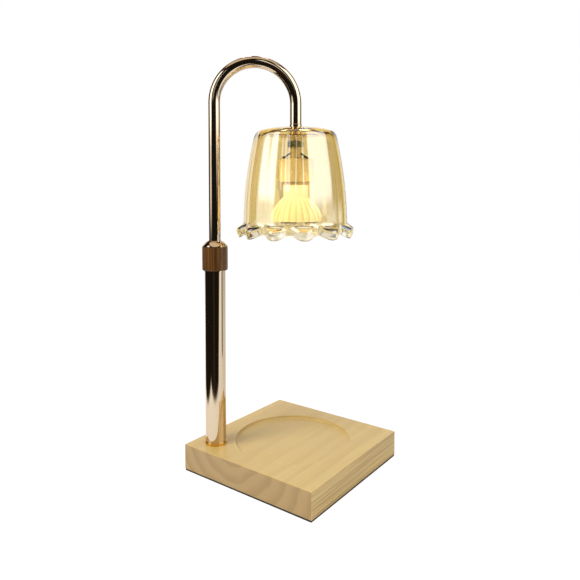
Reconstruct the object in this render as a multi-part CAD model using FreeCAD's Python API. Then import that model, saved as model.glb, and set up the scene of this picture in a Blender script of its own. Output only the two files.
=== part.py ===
import FreeCAD, Part
import math
import os

from FreeCAD import Vector

# Candle warmer lamp: a wood base with a candle recess, a telescoping post with a twist lock,
# a gooseneck that swivels and slides in it, and a ruffled glass shade over a twist-in spot bulb.
# Millimetres. Origin at the middle of the underside, +Z up, the base's sides along X and Y.
# The post stands in the (-X, -Y) corner, and the gooseneck reaches from it over the recess.

# ---------------------------------------------------------------- clearances
RUNNING_GAP = 0.08         # radial, between pieces that slide or turn on each other
FIXED_GAP = 0.03           # radial, between pieces that are glued, pressed or screwed together
FREE_GAP = 0.35            # between moving pieces that pass without touching
AXIAL_PLAY = 0.2           # end play of the guide bush between its stop rings
OVERCUT = 1.0              # how far a cutting shape runs past what it cuts
SAME = 1e-4                # lengths closer than this count as equal
SEAM = 1e-5                # widest gap that is sewn shut between two faces

# ---------------------------------------------------------------- wood base
BASE_SIDE = 150.0
WOOD_THICKNESS = 24.0
BASE_CORNER_RADIUS = 0.8
BASE_EDGE_RADIUS = 0.5
RECESS_DIAMETER = 113.0
RECESS_DEPTH = 3.0
RECESS_FLOOR_RADIUS = 2.0
RECESS_RIM_RADIUS = 0.7
PAD_THICKNESS = 1.5
PAD_INSET = 0.3
POST_INSET = 21.3          # from the post's axis to the two nearest sides

# ---------------------------------------------------------------- lead and its way out
LEAD_DIAMETER = 4.4
LEAD_BEND_RADIUS = 7.0
CHANNEL_ROOM = 0.6         # between the lead and the channel's walls
GROMMET_LENGTH = 6.0
GROMMET_SETBACK = 1.5
GROMMET_LIP = 1.0

# ---------------------------------------------------------------- fixing under the post
POCKET_DIAMETER = 26.0
POCKET_DEPTH = 16.0
NIPPLE_DIAMETER = 10.0
NIPPLE_BORE = 6.5
NIPPLE_TAIL = 1.0          # below the nut
NIPPLE_GRIP = 12.0         # inside the foot insert
NIPPLE_HOLE_ROOM = 0.3
BASE_WASHER_DIAMETER = 24.0
BASE_WASHER_THICKNESS = 1.5
BASE_NUT_ACROSS = 14.0
BASE_NUT_HEIGHT = 4.0

# ---------------------------------------------------------------- post
FOOT_RING_DIAMETER = 21.0
FOOT_RING_HEIGHT = 2.6
FOOT_RING_LEDGE = 0.8
POST_DIAMETER = 20.0
POST_WALL = 1.0
POST_LENGTH = 180.0
FOOT_INSERT_LENGTH = 15.0

# ---------------------------------------------------------------- collet and twist collar
COLLET_PLUG_LENGTH = 20.0
COLLET_FLANGE = 1.6
COLLET_NECK_LENGTH = 5.4
COLLET_NECK_DIAMETER = 15.0
COLLET_HEAD_LENGTH = 6.0
COLLET_HEAD_DIAMETER = 18.2
COLLET_TIP_DIAMETER = 15.4
COLLET_SLOT = 1.2
COLLET_SLOT_COUNT = 3      # each cuts right across, so it parts two pairs of fingers
COLLAR_OVERLAP = 11.4      # down over the post's top end
COLLAR_BARREL_DIAMETER = 22.0
COLLAR_CAP_DIAMETER = 24.4
COLLAR_CAP_HEIGHT = 5.5
COLLAR_DOME_RADIUS = 14.2  # of the ball that the cap's dome is part of
COLLAR_CROWN_DIAMETER = 13.8   # of the flat around the gooseneck
COLLAR_HEM = 0.8           # of the metal barrel, below the wooden grip
GRIP_DIAMETER = 24.6
GRIP_LENGTH = 22.7
GRIP_CHAMFER = 0.4

# ---------------------------------------------------------------- gooseneck
NECK_DIAMETER = 11.5
NECK_WALL = 0.8
ARCH_RADIUS = 39.5         # of the tube's centre line
NECK_RISE = 132.65         # straight tube seen above the collar, up to the arch
NECK_INSERTED = 83.9       # straight tube below the collar's top
DROP_LEG = 19.55           # straight tube after the arch, down to the ferrule
ARM_ANGLE = 45.0           # degrees from +X, towards the middle of the base
BUSH_LENGTH = 12.0
BUSH_CHAMFER = 0.6
BUSH_SLIT = 1.2
STOP_RING_DIAMETER = 14.0
STOP_RING_THICKNESS = 1.0
STOP_RING_OFFSET = 1.0     # from the tube's lower end

# ---------------------------------------------------------------- shade fixing
ROD_DIAMETER = 8.0         # hollow threaded rod that hangs the shade and the lamp holder
ROD_BORE = 5.2
ROD_GRIP = 9.0             # inside the leg insert
LEG_INSERT_LENGTH = 12.0
FERRULE_DIAMETER = 12.2
FERRULE_HEIGHT = 4.7
FERRULE_CHAMFER = 0.5
GASKET_DIAMETER = 12.2
GASKET_THICKNESS = 0.8
SHADE_NUT_TOP_DIAMETER = 16.4
SHADE_NUT_BOTTOM_DIAMETER = 13.0
SHADE_NUT_HEIGHT = 6.4
SHADE_NUT_SKIRT = 1.4
LOCK_WASHER_DIAMETER = 13.6
LOCK_WASHER_THICKNESS = 0.9
LOCK_NUT_ACROSS = 13.0
LOCK_NUT_HEIGHT = 6.0
NUT_CHAMFER = 0.8

# ---------------------------------------------------------------- glass shade
SHADE_WALL = 3.0
SHADE_SHOULDER_WALL = 4.5      # where it rounds over
SHADE_RIM_WALL = 1.8           # the ruffle gets thinner towards its rim
SHADE_HOLE_DIAMETER = 9.2
SHADE_CROWN_RADIUS = 28.0      # flat top, up to where it begins to round over
SHOULDER_LEVEL = 0.3           # share of the way from there to the shoulder that stays level
SHOULDER_TURN = (0.87, 0.25)   # the corner it rounds: share of the way out, share of the way down
SHADE_SHOULDER_DIAMETER = 82.8
SHADE_SHOULDER_HEIGHT = 10.0
SHADE_MOUTH_DIAMETER = 101.9
SHADE_BODY_HEIGHT = 78.0       # from the shoulder to the ruffle
SHADE_BARREL_POWER = 1.8       # how soon the body swells below the shoulder
BODY_STATIONS = 6
RUFFLE_HEIGHT = 15.6           # on average, as are the next two
RUFFLE_FLARE = 3.7
RUFFLE_TURNS = (               # how it flares: share of the way down, share of the way out
    (0.12, 0.0), (0.24, 0.2), (0.34, 0.8), (0.5, 1.15), (0.74, 0.95), (0.9, 0.7),
)
RIM_ROUND = 0.9                # beyond the last turn, where the rim rounds over
LOBE_COUNT = 12
LOBE_OUT = 3.9                 # each way from the ruffle's mean radius
LOBE_DROP = 2.9                # each way from the rim's mean height
LOBE_BREADTH = 0.14            # how much broader the lobes are than the folds between them
RIDGE_HEIGHT = 0.45            # of the body's flutes, each way
POLES_PER_LOBE = 8

# ---------------------------------------------------------------- lamp holder
STEM_DIAMETER = 10.4
STEM_LENGTH = 7.0              # upper, plain stretch
STEM_STEP_DIAMETERS = (11.2, 11.8)
STEM_STEP_HEIGHTS = (2.4, 2.4)
STEM_GRIP = 4.2                # of the rod in the stem
STEM_SLOT_WIDTH = 2.6
STEM_SLOT_HEIGHT = 3.6
STEM_TAIL_DIAMETER = 9.2
STEM_RIVET_DIAMETER = 12.0
STEM_RIVET_THICKNESS = 0.8
STEM_CHAMBER_DIAMETER = 6.4
HOLDER_DIAMETER = 34.6
HOLDER_COVER_HEIGHT = 11.4
HOLDER_ROOF = 3.5
HOLDER_WALL = 3.3
HOLDER_BODY_HEIGHT = 10.8
HOLDER_FLOOR = 3.3
HOLDER_JOINT = 0.1             # mortar line between the two ceramic halves
HOLDER_CHAMFER = 0.8
SOCKET_DIAMETER = 30.4
EAR_INNER = 7.0                # terminal ears: distance from the holder's axis along the arm
EAR_FRONT = 2.0                # and across it
EAR_BACK = 9.0
EAR_HEIGHT = 1.6
EAR_TOP_DIAMETER = 29.6
TERMINAL_OFFSET = 11.0
TERMINAL_SHAFT = 2.8
TERMINAL_HEAD = 4.8
TERMINAL_HEAD_HEIGHT = 1.6
TERMINAL_DEPTH = 4.0
WIRE_DIAMETER = 1.7
WIRE_HOLE_OFFSET = 12.7
WIRE_HOLE_ROOM = 0.3
WIRE_BEND_RADIUS = 1.3
WIRE_KNEE = 7.3                # from the wire's hole back to where it turns down
WIRE_FALL = 0.8                # above the cover, where it turns into its hole
RIVET_OFFSET = 12.0
RIVET_SHAFT = 3.0
RIVET_HEAD = 5.0
RIVET_HEAD_HEIGHT = 1.1
CONTACT_THICKNESS = 0.7
CONTACT_HEIGHT = 5.0

# ---------------------------------------------------------------- twist-in spot bulb
BULB_TWIST = 40.0              # degrees between locked and free
PIN_SPACING = 10.0
PIN_NECK = 3.2
PIN_HEAD = 5.0
PIN_LENGTH = 7.0
PIN_HEAD_LENGTH = 2.7
BULB_BASE_DIAMETER = 26.6
BULB_BASE_HEIGHT = 11.0
BULB_NECK_DIAMETER = 24.6
BULB_NECK_HEIGHT = 12.0
BULB_NECK_LAP = 1.0            # of the base inside the reflector's neck
BULB_RIM_DIAMETER = 50.0
BULB_RIM_HEIGHT = 2.0
BULB_BELL_HEIGHT = 20.6
BULB_BELL_POWER = 1.6
BULB_BELL_STEPS = 5            # points of the bell's curve, less one
BULB_WALL = 1.5
BULB_RIB_COUNT = 24
BULB_RIB_WIDTH = 1.4
BULB_RIB_HEIGHT = 0.6          # proud of the bell
LENS_THICKNESS = 1.5
LENS_SETBACK = 0.5
CAPSULE_DIAMETER = 9.0
CAPSULE_LENGTH = 22.0
CAPSULE_ROUNDING = 4.0

# ---------------------------------------------------------------- heights and radii that follow
BASE_TOP = PAD_THICKNESS + WOOD_THICKNESS
POST_X = POST_INSET - BASE_SIDE / 2
POST_Y = POST_INSET - BASE_SIDE / 2
POCKET_ROOF = PAD_THICKNESS + POCKET_DEPTH
WASHER_LOW = POCKET_ROOF - BASE_WASHER_THICKNESS
BASE_NUT_LOW = WASHER_LOW - BASE_NUT_HEIGHT
NIPPLE_LOW = BASE_NUT_LOW - NIPPLE_TAIL

POST_LOW = BASE_TOP + FOOT_RING_LEDGE
POST_TOP = POST_LOW + POST_LENGTH
POST_RADIUS = POST_DIAMETER / 2
POST_BORE = POST_RADIUS - POST_WALL
FOOT_INSERT_TOP = POST_LOW + FOOT_INSERT_LENGTH

LEAD_RADIUS = LEAD_DIAMETER / 2
LEAD_HEIGHT = PAD_THICKNESS + CHANNEL_ROOM + LEAD_RADIUS
CHANNEL_WIDTH = LEAD_DIAMETER + 2 * CHANNEL_ROOM + 2 * GROMMET_LIP
CHANNEL_DEPTH = LEAD_DIAMETER + 2 * CHANNEL_ROOM + GROMMET_LIP
BASE_LEAD_TOP = FOOT_INSERT_TOP + LEAD_RADIUS

COLLET_LOW = POST_TOP - COLLET_PLUG_LENGTH
COLLET_NECK_LOW = POST_TOP + COLLET_FLANGE
COLLET_HEAD_LOW = COLLET_NECK_LOW + COLLET_NECK_LENGTH
COLLET_TIP = COLLET_HEAD_LOW + COLLET_HEAD_LENGTH
COLLAR_LOW = POST_TOP - COLLAR_OVERLAP
GRIP_LOW = COLLAR_LOW + COLLAR_HEM
GRIP_TOP = GRIP_LOW + GRIP_LENGTH
COLLAR_TOP = GRIP_TOP + COLLAR_CAP_HEIGHT

NECK_RADIUS = NECK_DIAMETER / 2
NECK_BORE = NECK_RADIUS - NECK_WALL
NECK_LOW = COLLAR_TOP - NECK_INSERTED
ARCH_BASE = COLLAR_TOP + NECK_RISE
NECK_END = ARCH_BASE - DROP_LEG
REACH = 2 * ARCH_RADIUS        # from the post's axis to the shade's
LOWER_RING_LOW = NECK_LOW + STOP_RING_OFFSET
BUSH_LOW = LOWER_RING_LOW + STOP_RING_THICKNESS + AXIAL_PLAY
BUSH_TOP = BUSH_LOW + BUSH_LENGTH
UPPER_RING_LOW = BUSH_TOP + AXIAL_PLAY
UPPER_RING_TOP = UPPER_RING_LOW + STOP_RING_THICKNESS
RAISE_LIMIT = COLLET_LOW - UPPER_RING_TOP - FREE_GAP
LOWER_LIMIT = BASE_LEAD_TOP - NECK_LOW + 2 * LEAD_DIAMETER

ROD_RADIUS = ROD_DIAMETER / 2
FERRULE_LOW = NECK_END - FERRULE_HEIGHT
SHADE_TOP = FERRULE_LOW - GASKET_THICKNESS
SHADE_CEILING = SHADE_TOP - SHADE_WALL
SHADE_NUT_TOP = SHADE_CEILING - GASKET_THICKNESS
SHADE_NUT_LOW = SHADE_NUT_TOP - SHADE_NUT_HEIGHT
LOCK_NUT_TOP = SHADE_NUT_LOW - LOCK_WASHER_THICKNESS
LOCK_NUT_LOW = LOCK_NUT_TOP - LOCK_NUT_HEIGHT
SHADE_MOUTH = SHADE_TOP - SHADE_SHOULDER_HEIGHT - SHADE_BODY_HEIGHT
SHADE_RIM = SHADE_MOUTH - RUFFLE_HEIGHT

STEM_TOP = LOCK_NUT_LOW - FIXED_GAP
ROD_LOW = STEM_TOP - STEM_GRIP
HOLDER_TOP = STEM_TOP - STEM_LENGTH - sum(STEM_STEP_HEIGHTS)
HOLDER_RADIUS = HOLDER_DIAMETER / 2
COVER_LOW = HOLDER_TOP - HOLDER_COVER_HEIGHT
COVER_CEILING = HOLDER_TOP - HOLDER_ROOF
BODY_TOP = COVER_LOW - HOLDER_JOINT
HOLDER_LOW = BODY_TOP - HOLDER_BODY_HEIGHT
SOCKET_CEILING = BODY_TOP - HOLDER_FLOOR
WIRE_SLOT_LOW = ROD_LOW - STEM_SLOT_HEIGHT

BULB_TOP = SOCKET_CEILING - FREE_GAP
BULB_BASE_LOW = BULB_TOP - BULB_BASE_HEIGHT
BULB_NECK_TOP = BULB_BASE_LOW + BULB_NECK_LAP
BELL_TOP = BULB_NECK_TOP - BULB_NECK_HEIGHT
RIM_TOP = BELL_TOP - BULB_BELL_HEIGHT
BULB_LOW = RIM_TOP - BULB_RIM_HEIGHT
PIN_RADIUS = PIN_SPACING / 2


# ---------------------------------------------------------------- shape helpers
def rod(radius, low, high, x=0.0, y=0.0):
    """A solid cylinder along Z."""
    return Part.makeCylinder(radius, high - low, Vector(x, y, low))


def ring(outer, inner, low, high, x=0.0, y=0.0):
    """A plain tube or washer along Z."""
    return rod(outer, low, high, x, y).cut(rod(inner, low - OVERCUT, high + OVERCUT, x, y))


def turned(points):
    """A solid turned about Z from (radius, height) points."""
    corners = [Vector(radius, 0, height) for radius, height in points]
    outline = Part.makePolygon(corners + corners[:1])
    return Part.Face(outline).revolve(Vector(), Vector(0, 0, 1), 360)


def hexagon(across, low, high):
    """A hexagonal prism about Z."""
    corner = across / math.sqrt(3)
    corners = [
        Vector(corner * math.cos(math.radians(60 * k)), corner * math.sin(math.radians(60 * k)), low)
        for k in range(6)
    ]
    outline = Part.makePolygon(corners + corners[:1])
    return Part.Face(outline).extrude(Vector(0, 0, high - low))


def hex_nut(across, bore, low, high):
    """A hex nut whose corners are turned off at both ends."""
    corner = across / math.sqrt(3) + FIXED_GAP
    blank = turned([
        (bore, low), (across / 2, low), (corner, low + NUT_CHAMFER / 2),
        (corner, high - NUT_CHAMFER / 2), (across / 2, high), (bore, high),
    ])
    return hexagon(across, low, high).common(blank)


def slab(side_x, side_y, low, high, corner):
    """A flat block centred on Z with rounded upright corners."""
    block = Part.makeBox(side_x, side_y, high - low, Vector(-side_x / 2, -side_y / 2, low))
    uprights = [edge for edge in block.Edges if abs(edge.BoundBox.ZLength - (high - low)) < SAME]
    return block.makeFillet(corner, uprights)


def edges_at(shape, height):
    """The edges of a shape that lie flat at one height."""
    return [
        edge for edge in shape.Edges
        if abs(edge.BoundBox.ZMin - height) < SAME and abs(edge.BoundBox.ZMax - height) < SAME
    ]


def round_edges_at(shape, radius, outer):
    """The circular edges of one radius about an axis at outer's x, y and height."""
    x, y, height = outer
    return [
        edge for edge in edges_at(shape, height)
        if isinstance(edge.Curve, Part.Circle)
        and abs(edge.Curve.Radius - radius) < SAME
        and abs(edge.Curve.Center.x - x) < SAME
        and abs(edge.Curve.Center.y - y) < SAME
    ]


def pipe(edges, radius):
    """A round solid swept along tangent lines and arcs."""
    path = Part.Wire(edges)
    start = edges[0].valueAt(edges[0].FirstParameter)
    along = edges[0].tangentAt(edges[0].FirstParameter)
    section = Part.Wire(Part.makeCircle(radius, start, along))
    return path.makePipeShell([section], True, False)


def quarter(start, corner, end):
    """The arc that rounds a square corner, from start to end."""
    middle = (start + end) * 0.5
    radius = (start - corner).Length
    outward = (corner - middle).normalize()
    centre = start + end - corner
    return Part.Arc(start, centre + outward * radius, end).toShape()


def on_post(shape):
    """Moves a piece from the post's own frame to its place on the base."""
    shape = shape.copy()
    shape.translate(Vector(POST_X, POST_Y, 0))
    return shape


def on_arm(shape):
    """Turns a piece of the gooseneck, made with the arm along +X, to its place."""
    shape = shape.copy()
    shape.rotate(Vector(), Vector(0, 0, 1), ARM_ANGLE)
    return on_post(shape)


def at_shade(shape):
    """Moves a piece made about the shade's axis to its place on the gooseneck."""
    shape = shape.copy()
    shape.translate(Vector(REACH, 0, 0))
    return on_arm(shape)


# ---------------------------------------------------------------- base
def wood_base():
    block = slab(BASE_SIDE, BASE_SIDE, PAD_THICKNESS, BASE_TOP, BASE_CORNER_RADIUS)
    block = block.makeFillet(BASE_EDGE_RADIUS, edges_at(block, BASE_TOP) + edges_at(block, PAD_THICKNESS))
    floor = BASE_TOP - RECESS_DEPTH
    recess = RECESS_DIAMETER / 2
    block = block.cut(rod(recess, floor, BASE_TOP + OVERCUT))
    block = block.makeFillet(RECESS_FLOOR_RADIUS, round_edges_at(block, recess, (0, 0, floor)))
    block = block.makeFillet(RECESS_RIM_RADIUS, round_edges_at(block, recess, (0, 0, BASE_TOP)))
    hole = on_post(rod(NIPPLE_DIAMETER / 2 + NIPPLE_HOLE_ROOM, 0, BASE_TOP + OVERCUT))
    pocket = on_post(rod(POCKET_DIAMETER / 2, 0, POCKET_ROOF))
    channel = Part.makeBox(
        POST_INSET + OVERCUT, CHANNEL_WIDTH, CHANNEL_DEPTH,
        Vector(-BASE_SIDE / 2 - OVERCUT, POST_Y - CHANNEL_WIDTH / 2, PAD_THICKNESS),
    )
    return block.cut(hole).cut(pocket).cut(channel)


def base_pad():
    side = BASE_SIDE - 2 * PAD_INSET
    return slab(side, side, 0, PAD_THICKNESS, BASE_CORNER_RADIUS)


def lead_grommet():
    block = Part.makeBox(
        GROMMET_LENGTH, CHANNEL_WIDTH - 2 * FIXED_GAP, CHANNEL_DEPTH - FIXED_GAP,
        Vector(-BASE_SIDE / 2 + GROMMET_SETBACK, POST_Y - CHANNEL_WIDTH / 2 + FIXED_GAP, PAD_THICKNESS),
    )
    mouth = Part.makeCylinder(
        LEAD_RADIUS + FIXED_GAP, POST_INSET, Vector(-BASE_SIDE / 2, POST_Y, LEAD_HEIGHT), Vector(1, 0, 0)
    )
    return block.cut(mouth)


def base_lead():
    """The lead from the grommet along its channel and up through the hollow nipple."""
    start = Vector(-BASE_SIDE / 2 + GROMMET_SETBACK, POST_Y, LEAD_HEIGHT)
    corner = Vector(POST_X, POST_Y, LEAD_HEIGHT)
    bend_in = corner - Vector(LEAD_BEND_RADIUS, 0, 0)
    bend_out = corner + Vector(0, 0, LEAD_BEND_RADIUS)
    end = Vector(POST_X, POST_Y, BASE_LEAD_TOP)
    route = [
        Part.LineSegment(start, bend_in).toShape(),
        quarter(bend_in, corner, bend_out),
        Part.LineSegment(bend_out, end).toShape(),
    ]
    return pipe(route, LEAD_RADIUS)


def base_nipple():
    return on_post(ring(NIPPLE_DIAMETER / 2, NIPPLE_BORE / 2, NIPPLE_LOW, POST_LOW + NIPPLE_GRIP))


def base_washer():
    bore = NIPPLE_DIAMETER / 2 + NIPPLE_HOLE_ROOM
    return on_post(ring(BASE_WASHER_DIAMETER / 2, bore, WASHER_LOW, POCKET_ROOF))


def base_nut():
    bore = NIPPLE_DIAMETER / 2 + FIXED_GAP
    return on_post(hex_nut(BASE_NUT_ACROSS, bore, BASE_NUT_LOW, WASHER_LOW))


# ---------------------------------------------------------------- post
def foot_ring():
    outer = FOOT_RING_DIAMETER / 2
    inner = POST_RADIUS + FIXED_GAP
    ledge = NIPPLE_DIAMETER / 2 + NIPPLE_HOLE_ROOM
    top = BASE_TOP + FOOT_RING_HEIGHT
    lip = (outer - inner) / 2
    return on_post(turned([
        (ledge, BASE_TOP), (outer, BASE_TOP), (outer, top - lip), (outer - lip, top), (inner, top),
        (inner, POST_LOW), (ledge, POST_LOW),
    ]))


def post_tube():
    return on_post(ring(POST_RADIUS, POST_BORE, POST_LOW, POST_TOP))


def foot_insert():
    bore = NIPPLE_DIAMETER / 2 + FIXED_GAP
    return on_post(ring(POST_BORE - FIXED_GAP, bore, POST_LOW, FOOT_INSERT_TOP))


def post_lead():
    """The stretch of lead in the open post, which folds up as the gooseneck comes down."""
    return on_post(rod(LEAD_RADIUS, BASE_LEAD_TOP, NECK_LOW))


def collet():
    """Clamping sleeve in the post's top: slotted fingers with a taper that the collar squeezes."""
    bore = NECK_RADIUS + RUNNING_GAP
    plug = POST_BORE - FIXED_GAP
    body = turned([
        (bore, COLLET_LOW), (plug, COLLET_LOW), (plug, POST_TOP), (POST_RADIUS, POST_TOP),
        (POST_RADIUS, COLLET_NECK_LOW), (COLLET_NECK_DIAMETER / 2, COLLET_NECK_LOW),
        (COLLET_NECK_DIAMETER / 2, COLLET_HEAD_LOW), (COLLET_HEAD_DIAMETER / 2, COLLET_HEAD_LOW),
        (COLLET_TIP_DIAMETER / 2, COLLET_TIP), (bore, COLLET_TIP),
    ])
    for k in range(COLLET_SLOT_COUNT):
        slot = Part.makeBox(
            POST_DIAMETER, COLLET_SLOT, COLLET_TIP - COLLET_NECK_LOW,
            Vector(-POST_RADIUS, -COLLET_SLOT / 2, COLLET_NECK_LOW + COLLET_SLOT),
        )
        slot.rotate(Vector(), Vector(0, 0, 1), 180 * k / COLLET_SLOT_COUNT)
        body = body.cut(slot)
    return on_post(body)


# ---------------------------------------------------------------- twist collar
def collar_nut():
    """Gold barrel and domed cap, with the inside taper that closes the collet's fingers."""
    barrel = COLLAR_BARREL_DIAMETER / 2
    cap = COLLAR_CAP_DIAMETER / 2
    bore = POST_RADIUS + RUNNING_GAP
    head = COLLET_HEAD_DIAMETER / 2 + FREE_GAP
    tip = COLLET_TIP_DIAMETER / 2 + FREE_GAP
    hole = NECK_RADIUS + FREE_GAP
    step = COLLET_NECK_LOW + FREE_GAP
    ceiling = COLLET_TIP + FREE_GAP
    body = turned([
        (bore, COLLAR_LOW), (barrel, COLLAR_LOW), (barrel, GRIP_TOP), (cap, GRIP_TOP), (cap, COLLAR_TOP),
        (hole, COLLAR_TOP), (hole, ceiling), (tip, ceiling), (head, COLLET_HEAD_LOW), (head, step),
        (bore, step),
    ])
    dome_centre = COLLAR_TOP - math.sqrt(COLLAR_DOME_RADIUS ** 2 - (COLLAR_CROWN_DIAMETER / 2) ** 2)
    dome = Part.makeSphere(COLLAR_DOME_RADIUS, Vector(0, 0, dome_centre))
    around = rod(cap + OVERCUT, GRIP_TOP, COLLAR_TOP + OVERCUT).cut(dome)
    return on_post(body.cut(around))


def collar_grip():
    outer = GRIP_DIAMETER / 2
    inner = COLLAR_BARREL_DIAMETER / 2 + FIXED_GAP
    return on_post(turned([
        (inner, GRIP_LOW), (outer - GRIP_CHAMFER, GRIP_LOW), (outer, GRIP_LOW + GRIP_CHAMFER),
        (outer, GRIP_TOP - GRIP_CHAMFER), (outer - GRIP_CHAMFER, GRIP_TOP), (inner, GRIP_TOP),
    ]))


# ---------------------------------------------------------------- gooseneck
def neck_route(start_height, end_height):
    """The gooseneck's centre line in the arm's frame: up, over the arch and down."""
    start = Vector(0, 0, start_height)
    spring = Vector(0, 0, ARCH_BASE)
    crown = Vector(ARCH_RADIUS, 0, ARCH_BASE + ARCH_RADIUS)
    landing = Vector(REACH, 0, ARCH_BASE)
    end = Vector(REACH, 0, end_height)
    return [
        Part.LineSegment(start, spring).toShape(),
        Part.Arc(spring, crown, landing).toShape(),
        Part.LineSegment(landing, end).toShape(),
    ]


def gooseneck():
    outside = pipe(neck_route(NECK_LOW, NECK_END), NECK_RADIUS)
    inside = pipe(neck_route(NECK_LOW - OVERCUT, NECK_END - OVERCUT), NECK_BORE)
    return on_arm(outside.cut(inside))


def guide_bush():
    """Split nylon bush that centres the gooseneck's lower end in the post."""
    outer = POST_BORE - RUNNING_GAP
    bore = NECK_RADIUS + RUNNING_GAP
    body = turned([
        (bore, BUSH_LOW), (outer - BUSH_CHAMFER, BUSH_LOW), (outer, BUSH_LOW + BUSH_CHAMFER),
        (outer, BUSH_TOP - BUSH_CHAMFER), (outer - BUSH_CHAMFER, BUSH_TOP), (bore, BUSH_TOP),
    ])
    slit = Part.makeBox(POST_RADIUS, BUSH_SLIT, BUSH_LENGTH, Vector(0, -BUSH_SLIT / 2, BUSH_LOW))
    return on_post(body.cut(slit))


def stop_rings():
    """The two rings pressed on the gooseneck, one each side of the bush."""
    rings = [
        ring(STOP_RING_DIAMETER / 2, NECK_RADIUS + FIXED_GAP, low, low + STOP_RING_THICKNESS)
        for low in (LOWER_RING_LOW, UPPER_RING_LOW)
    ]
    return on_arm(Part.makeCompound(rings))


def neck_lead():
    """The lead inside the gooseneck, down to where its sheath ends in the hollow rod."""
    return on_arm(pipe(neck_route(NECK_LOW, ROD_LOW + FIXED_GAP), LEAD_RADIUS))


# ---------------------------------------------------------------- shade fixing
def leg_insert():
    top = NECK_END + LEG_INSERT_LENGTH
    return at_shade(ring(NECK_BORE - FIXED_GAP, ROD_RADIUS + FIXED_GAP, NECK_END, top))


def shade_rod():
    return at_shade(ring(ROD_RADIUS, ROD_BORE / 2, ROD_LOW, NECK_END + ROD_GRIP))


def shade_ferrule():
    outer = FERRULE_DIAMETER / 2
    bore = ROD_RADIUS + FIXED_GAP
    return at_shade(turned([
        (bore, FERRULE_LOW), (outer, FERRULE_LOW), (outer, NECK_END - FERRULE_CHAMFER),
        (outer - FERRULE_CHAMFER, NECK_END), (bore, NECK_END),
    ]))


def shade_gaskets():
    """Silicone washers above and below the glass."""
    bore = ROD_RADIUS + FIXED_GAP
    washers = [
        ring(GASKET_DIAMETER / 2, bore, low, low + GASKET_THICKNESS)
        for low in (SHADE_TOP, SHADE_NUT_TOP)
    ]
    return at_shade(Part.makeCompound(washers))


def shade_nut():
    top = SHADE_NUT_TOP_DIAMETER / 2
    bottom = SHADE_NUT_BOTTOM_DIAMETER / 2
    bore = ROD_RADIUS + FIXED_GAP
    return at_shade(turned([
        (bore, SHADE_NUT_LOW), (bottom, SHADE_NUT_LOW), (top, SHADE_NUT_TOP - SHADE_NUT_SKIRT),
        (top, SHADE_NUT_TOP), (bore, SHADE_NUT_TOP),
    ]))


def lock_washer():
    return at_shade(ring(LOCK_WASHER_DIAMETER / 2, ROD_RADIUS + FIXED_GAP, LOCK_NUT_TOP, SHADE_NUT_LOW))


def lock_nut():
    return at_shade(hex_nut(LOCK_NUT_ACROSS, ROD_RADIUS + FIXED_GAP, LOCK_NUT_LOW, LOCK_NUT_TOP))


# ---------------------------------------------------------------- glass shade
def body_radius(share):
    """The glass body's mean outer radius, from the shoulder (0) to the ruffle (1)."""
    shoulder = SHADE_SHOULDER_DIAMETER / 2
    swell = 1 - (1 - share) ** SHADE_BARREL_POWER
    return shoulder + (SHADE_MOUTH_DIAMETER / 2 - shoulder) * swell


def outside_profile(swing):
    """(radius, height) poles of the outside, where the ruffle swings out (1) or in (-1)."""
    shoulder = SHADE_TOP - SHADE_SHOULDER_HEIGHT
    over = SHADE_SHOULDER_DIAMETER / 2 - SHADE_CROWN_RADIUS
    turn_out, turn_down = SHOULDER_TURN
    ridge = RIDGE_HEIGHT * swing
    poles = [
        (SHADE_CROWN_RADIUS, SHADE_TOP),
        (SHADE_CROWN_RADIUS + over * SHOULDER_LEVEL, SHADE_TOP),
        (SHADE_CROWN_RADIUS + over * turn_out + ridge / 2, SHADE_TOP - SHADE_SHOULDER_HEIGHT * turn_down),
    ]
    for k in range(BODY_STATIONS):
        share = k / (BODY_STATIONS - 1)
        poles.append((body_radius(share) + ridge, shoulder - SHADE_BODY_HEIGHT * share))
    flare = RUFFLE_FLARE + LOBE_OUT * swing - ridge
    drop = RUFFLE_HEIGHT + LOBE_DROP * swing
    for down, out in RUFFLE_TURNS:
        poles.append((SHADE_MOUTH_DIAMETER / 2 + ridge + flare * out, SHADE_MOUTH - drop * down))
    return poles


def wall_profile(swing):
    """The poles of the outside, round the rim, and back up the inside, one wall further in."""
    outside = outside_profile(swing)
    before = [(0, SHADE_TOP)] + outside[:-1]
    after = outside[1:] + outside[-1:]
    walls = [SHADE_WALL, SHADE_SHOULDER_WALL, SHADE_SHOULDER_WALL] + [SHADE_WALL] * BODY_STATIONS
    walls += [SHADE_WALL + (SHADE_RIM_WALL - SHADE_WALL) * down for down, out in RUFFLE_TURNS]
    inside = []
    for (radius, height), (last_r, last_z), (next_r, next_z), wall in zip(outside, before, after, walls):
        along = math.hypot(next_r - last_r, next_z - last_z)
        inward = wall * (next_z - last_z) / along
        downward = wall * (next_r - last_r) / along
        inside.append((radius + inward, height - downward))
    inside[0] = (SHADE_CROWN_RADIUS, SHADE_CEILING)
    inside[1] = (inside[1][0], SHADE_CEILING)
    rim = [(radius, height - RIM_ROUND) for radius, height in (outside[-1], inside[-1])]
    return outside + rim + inside[::-1]


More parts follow.
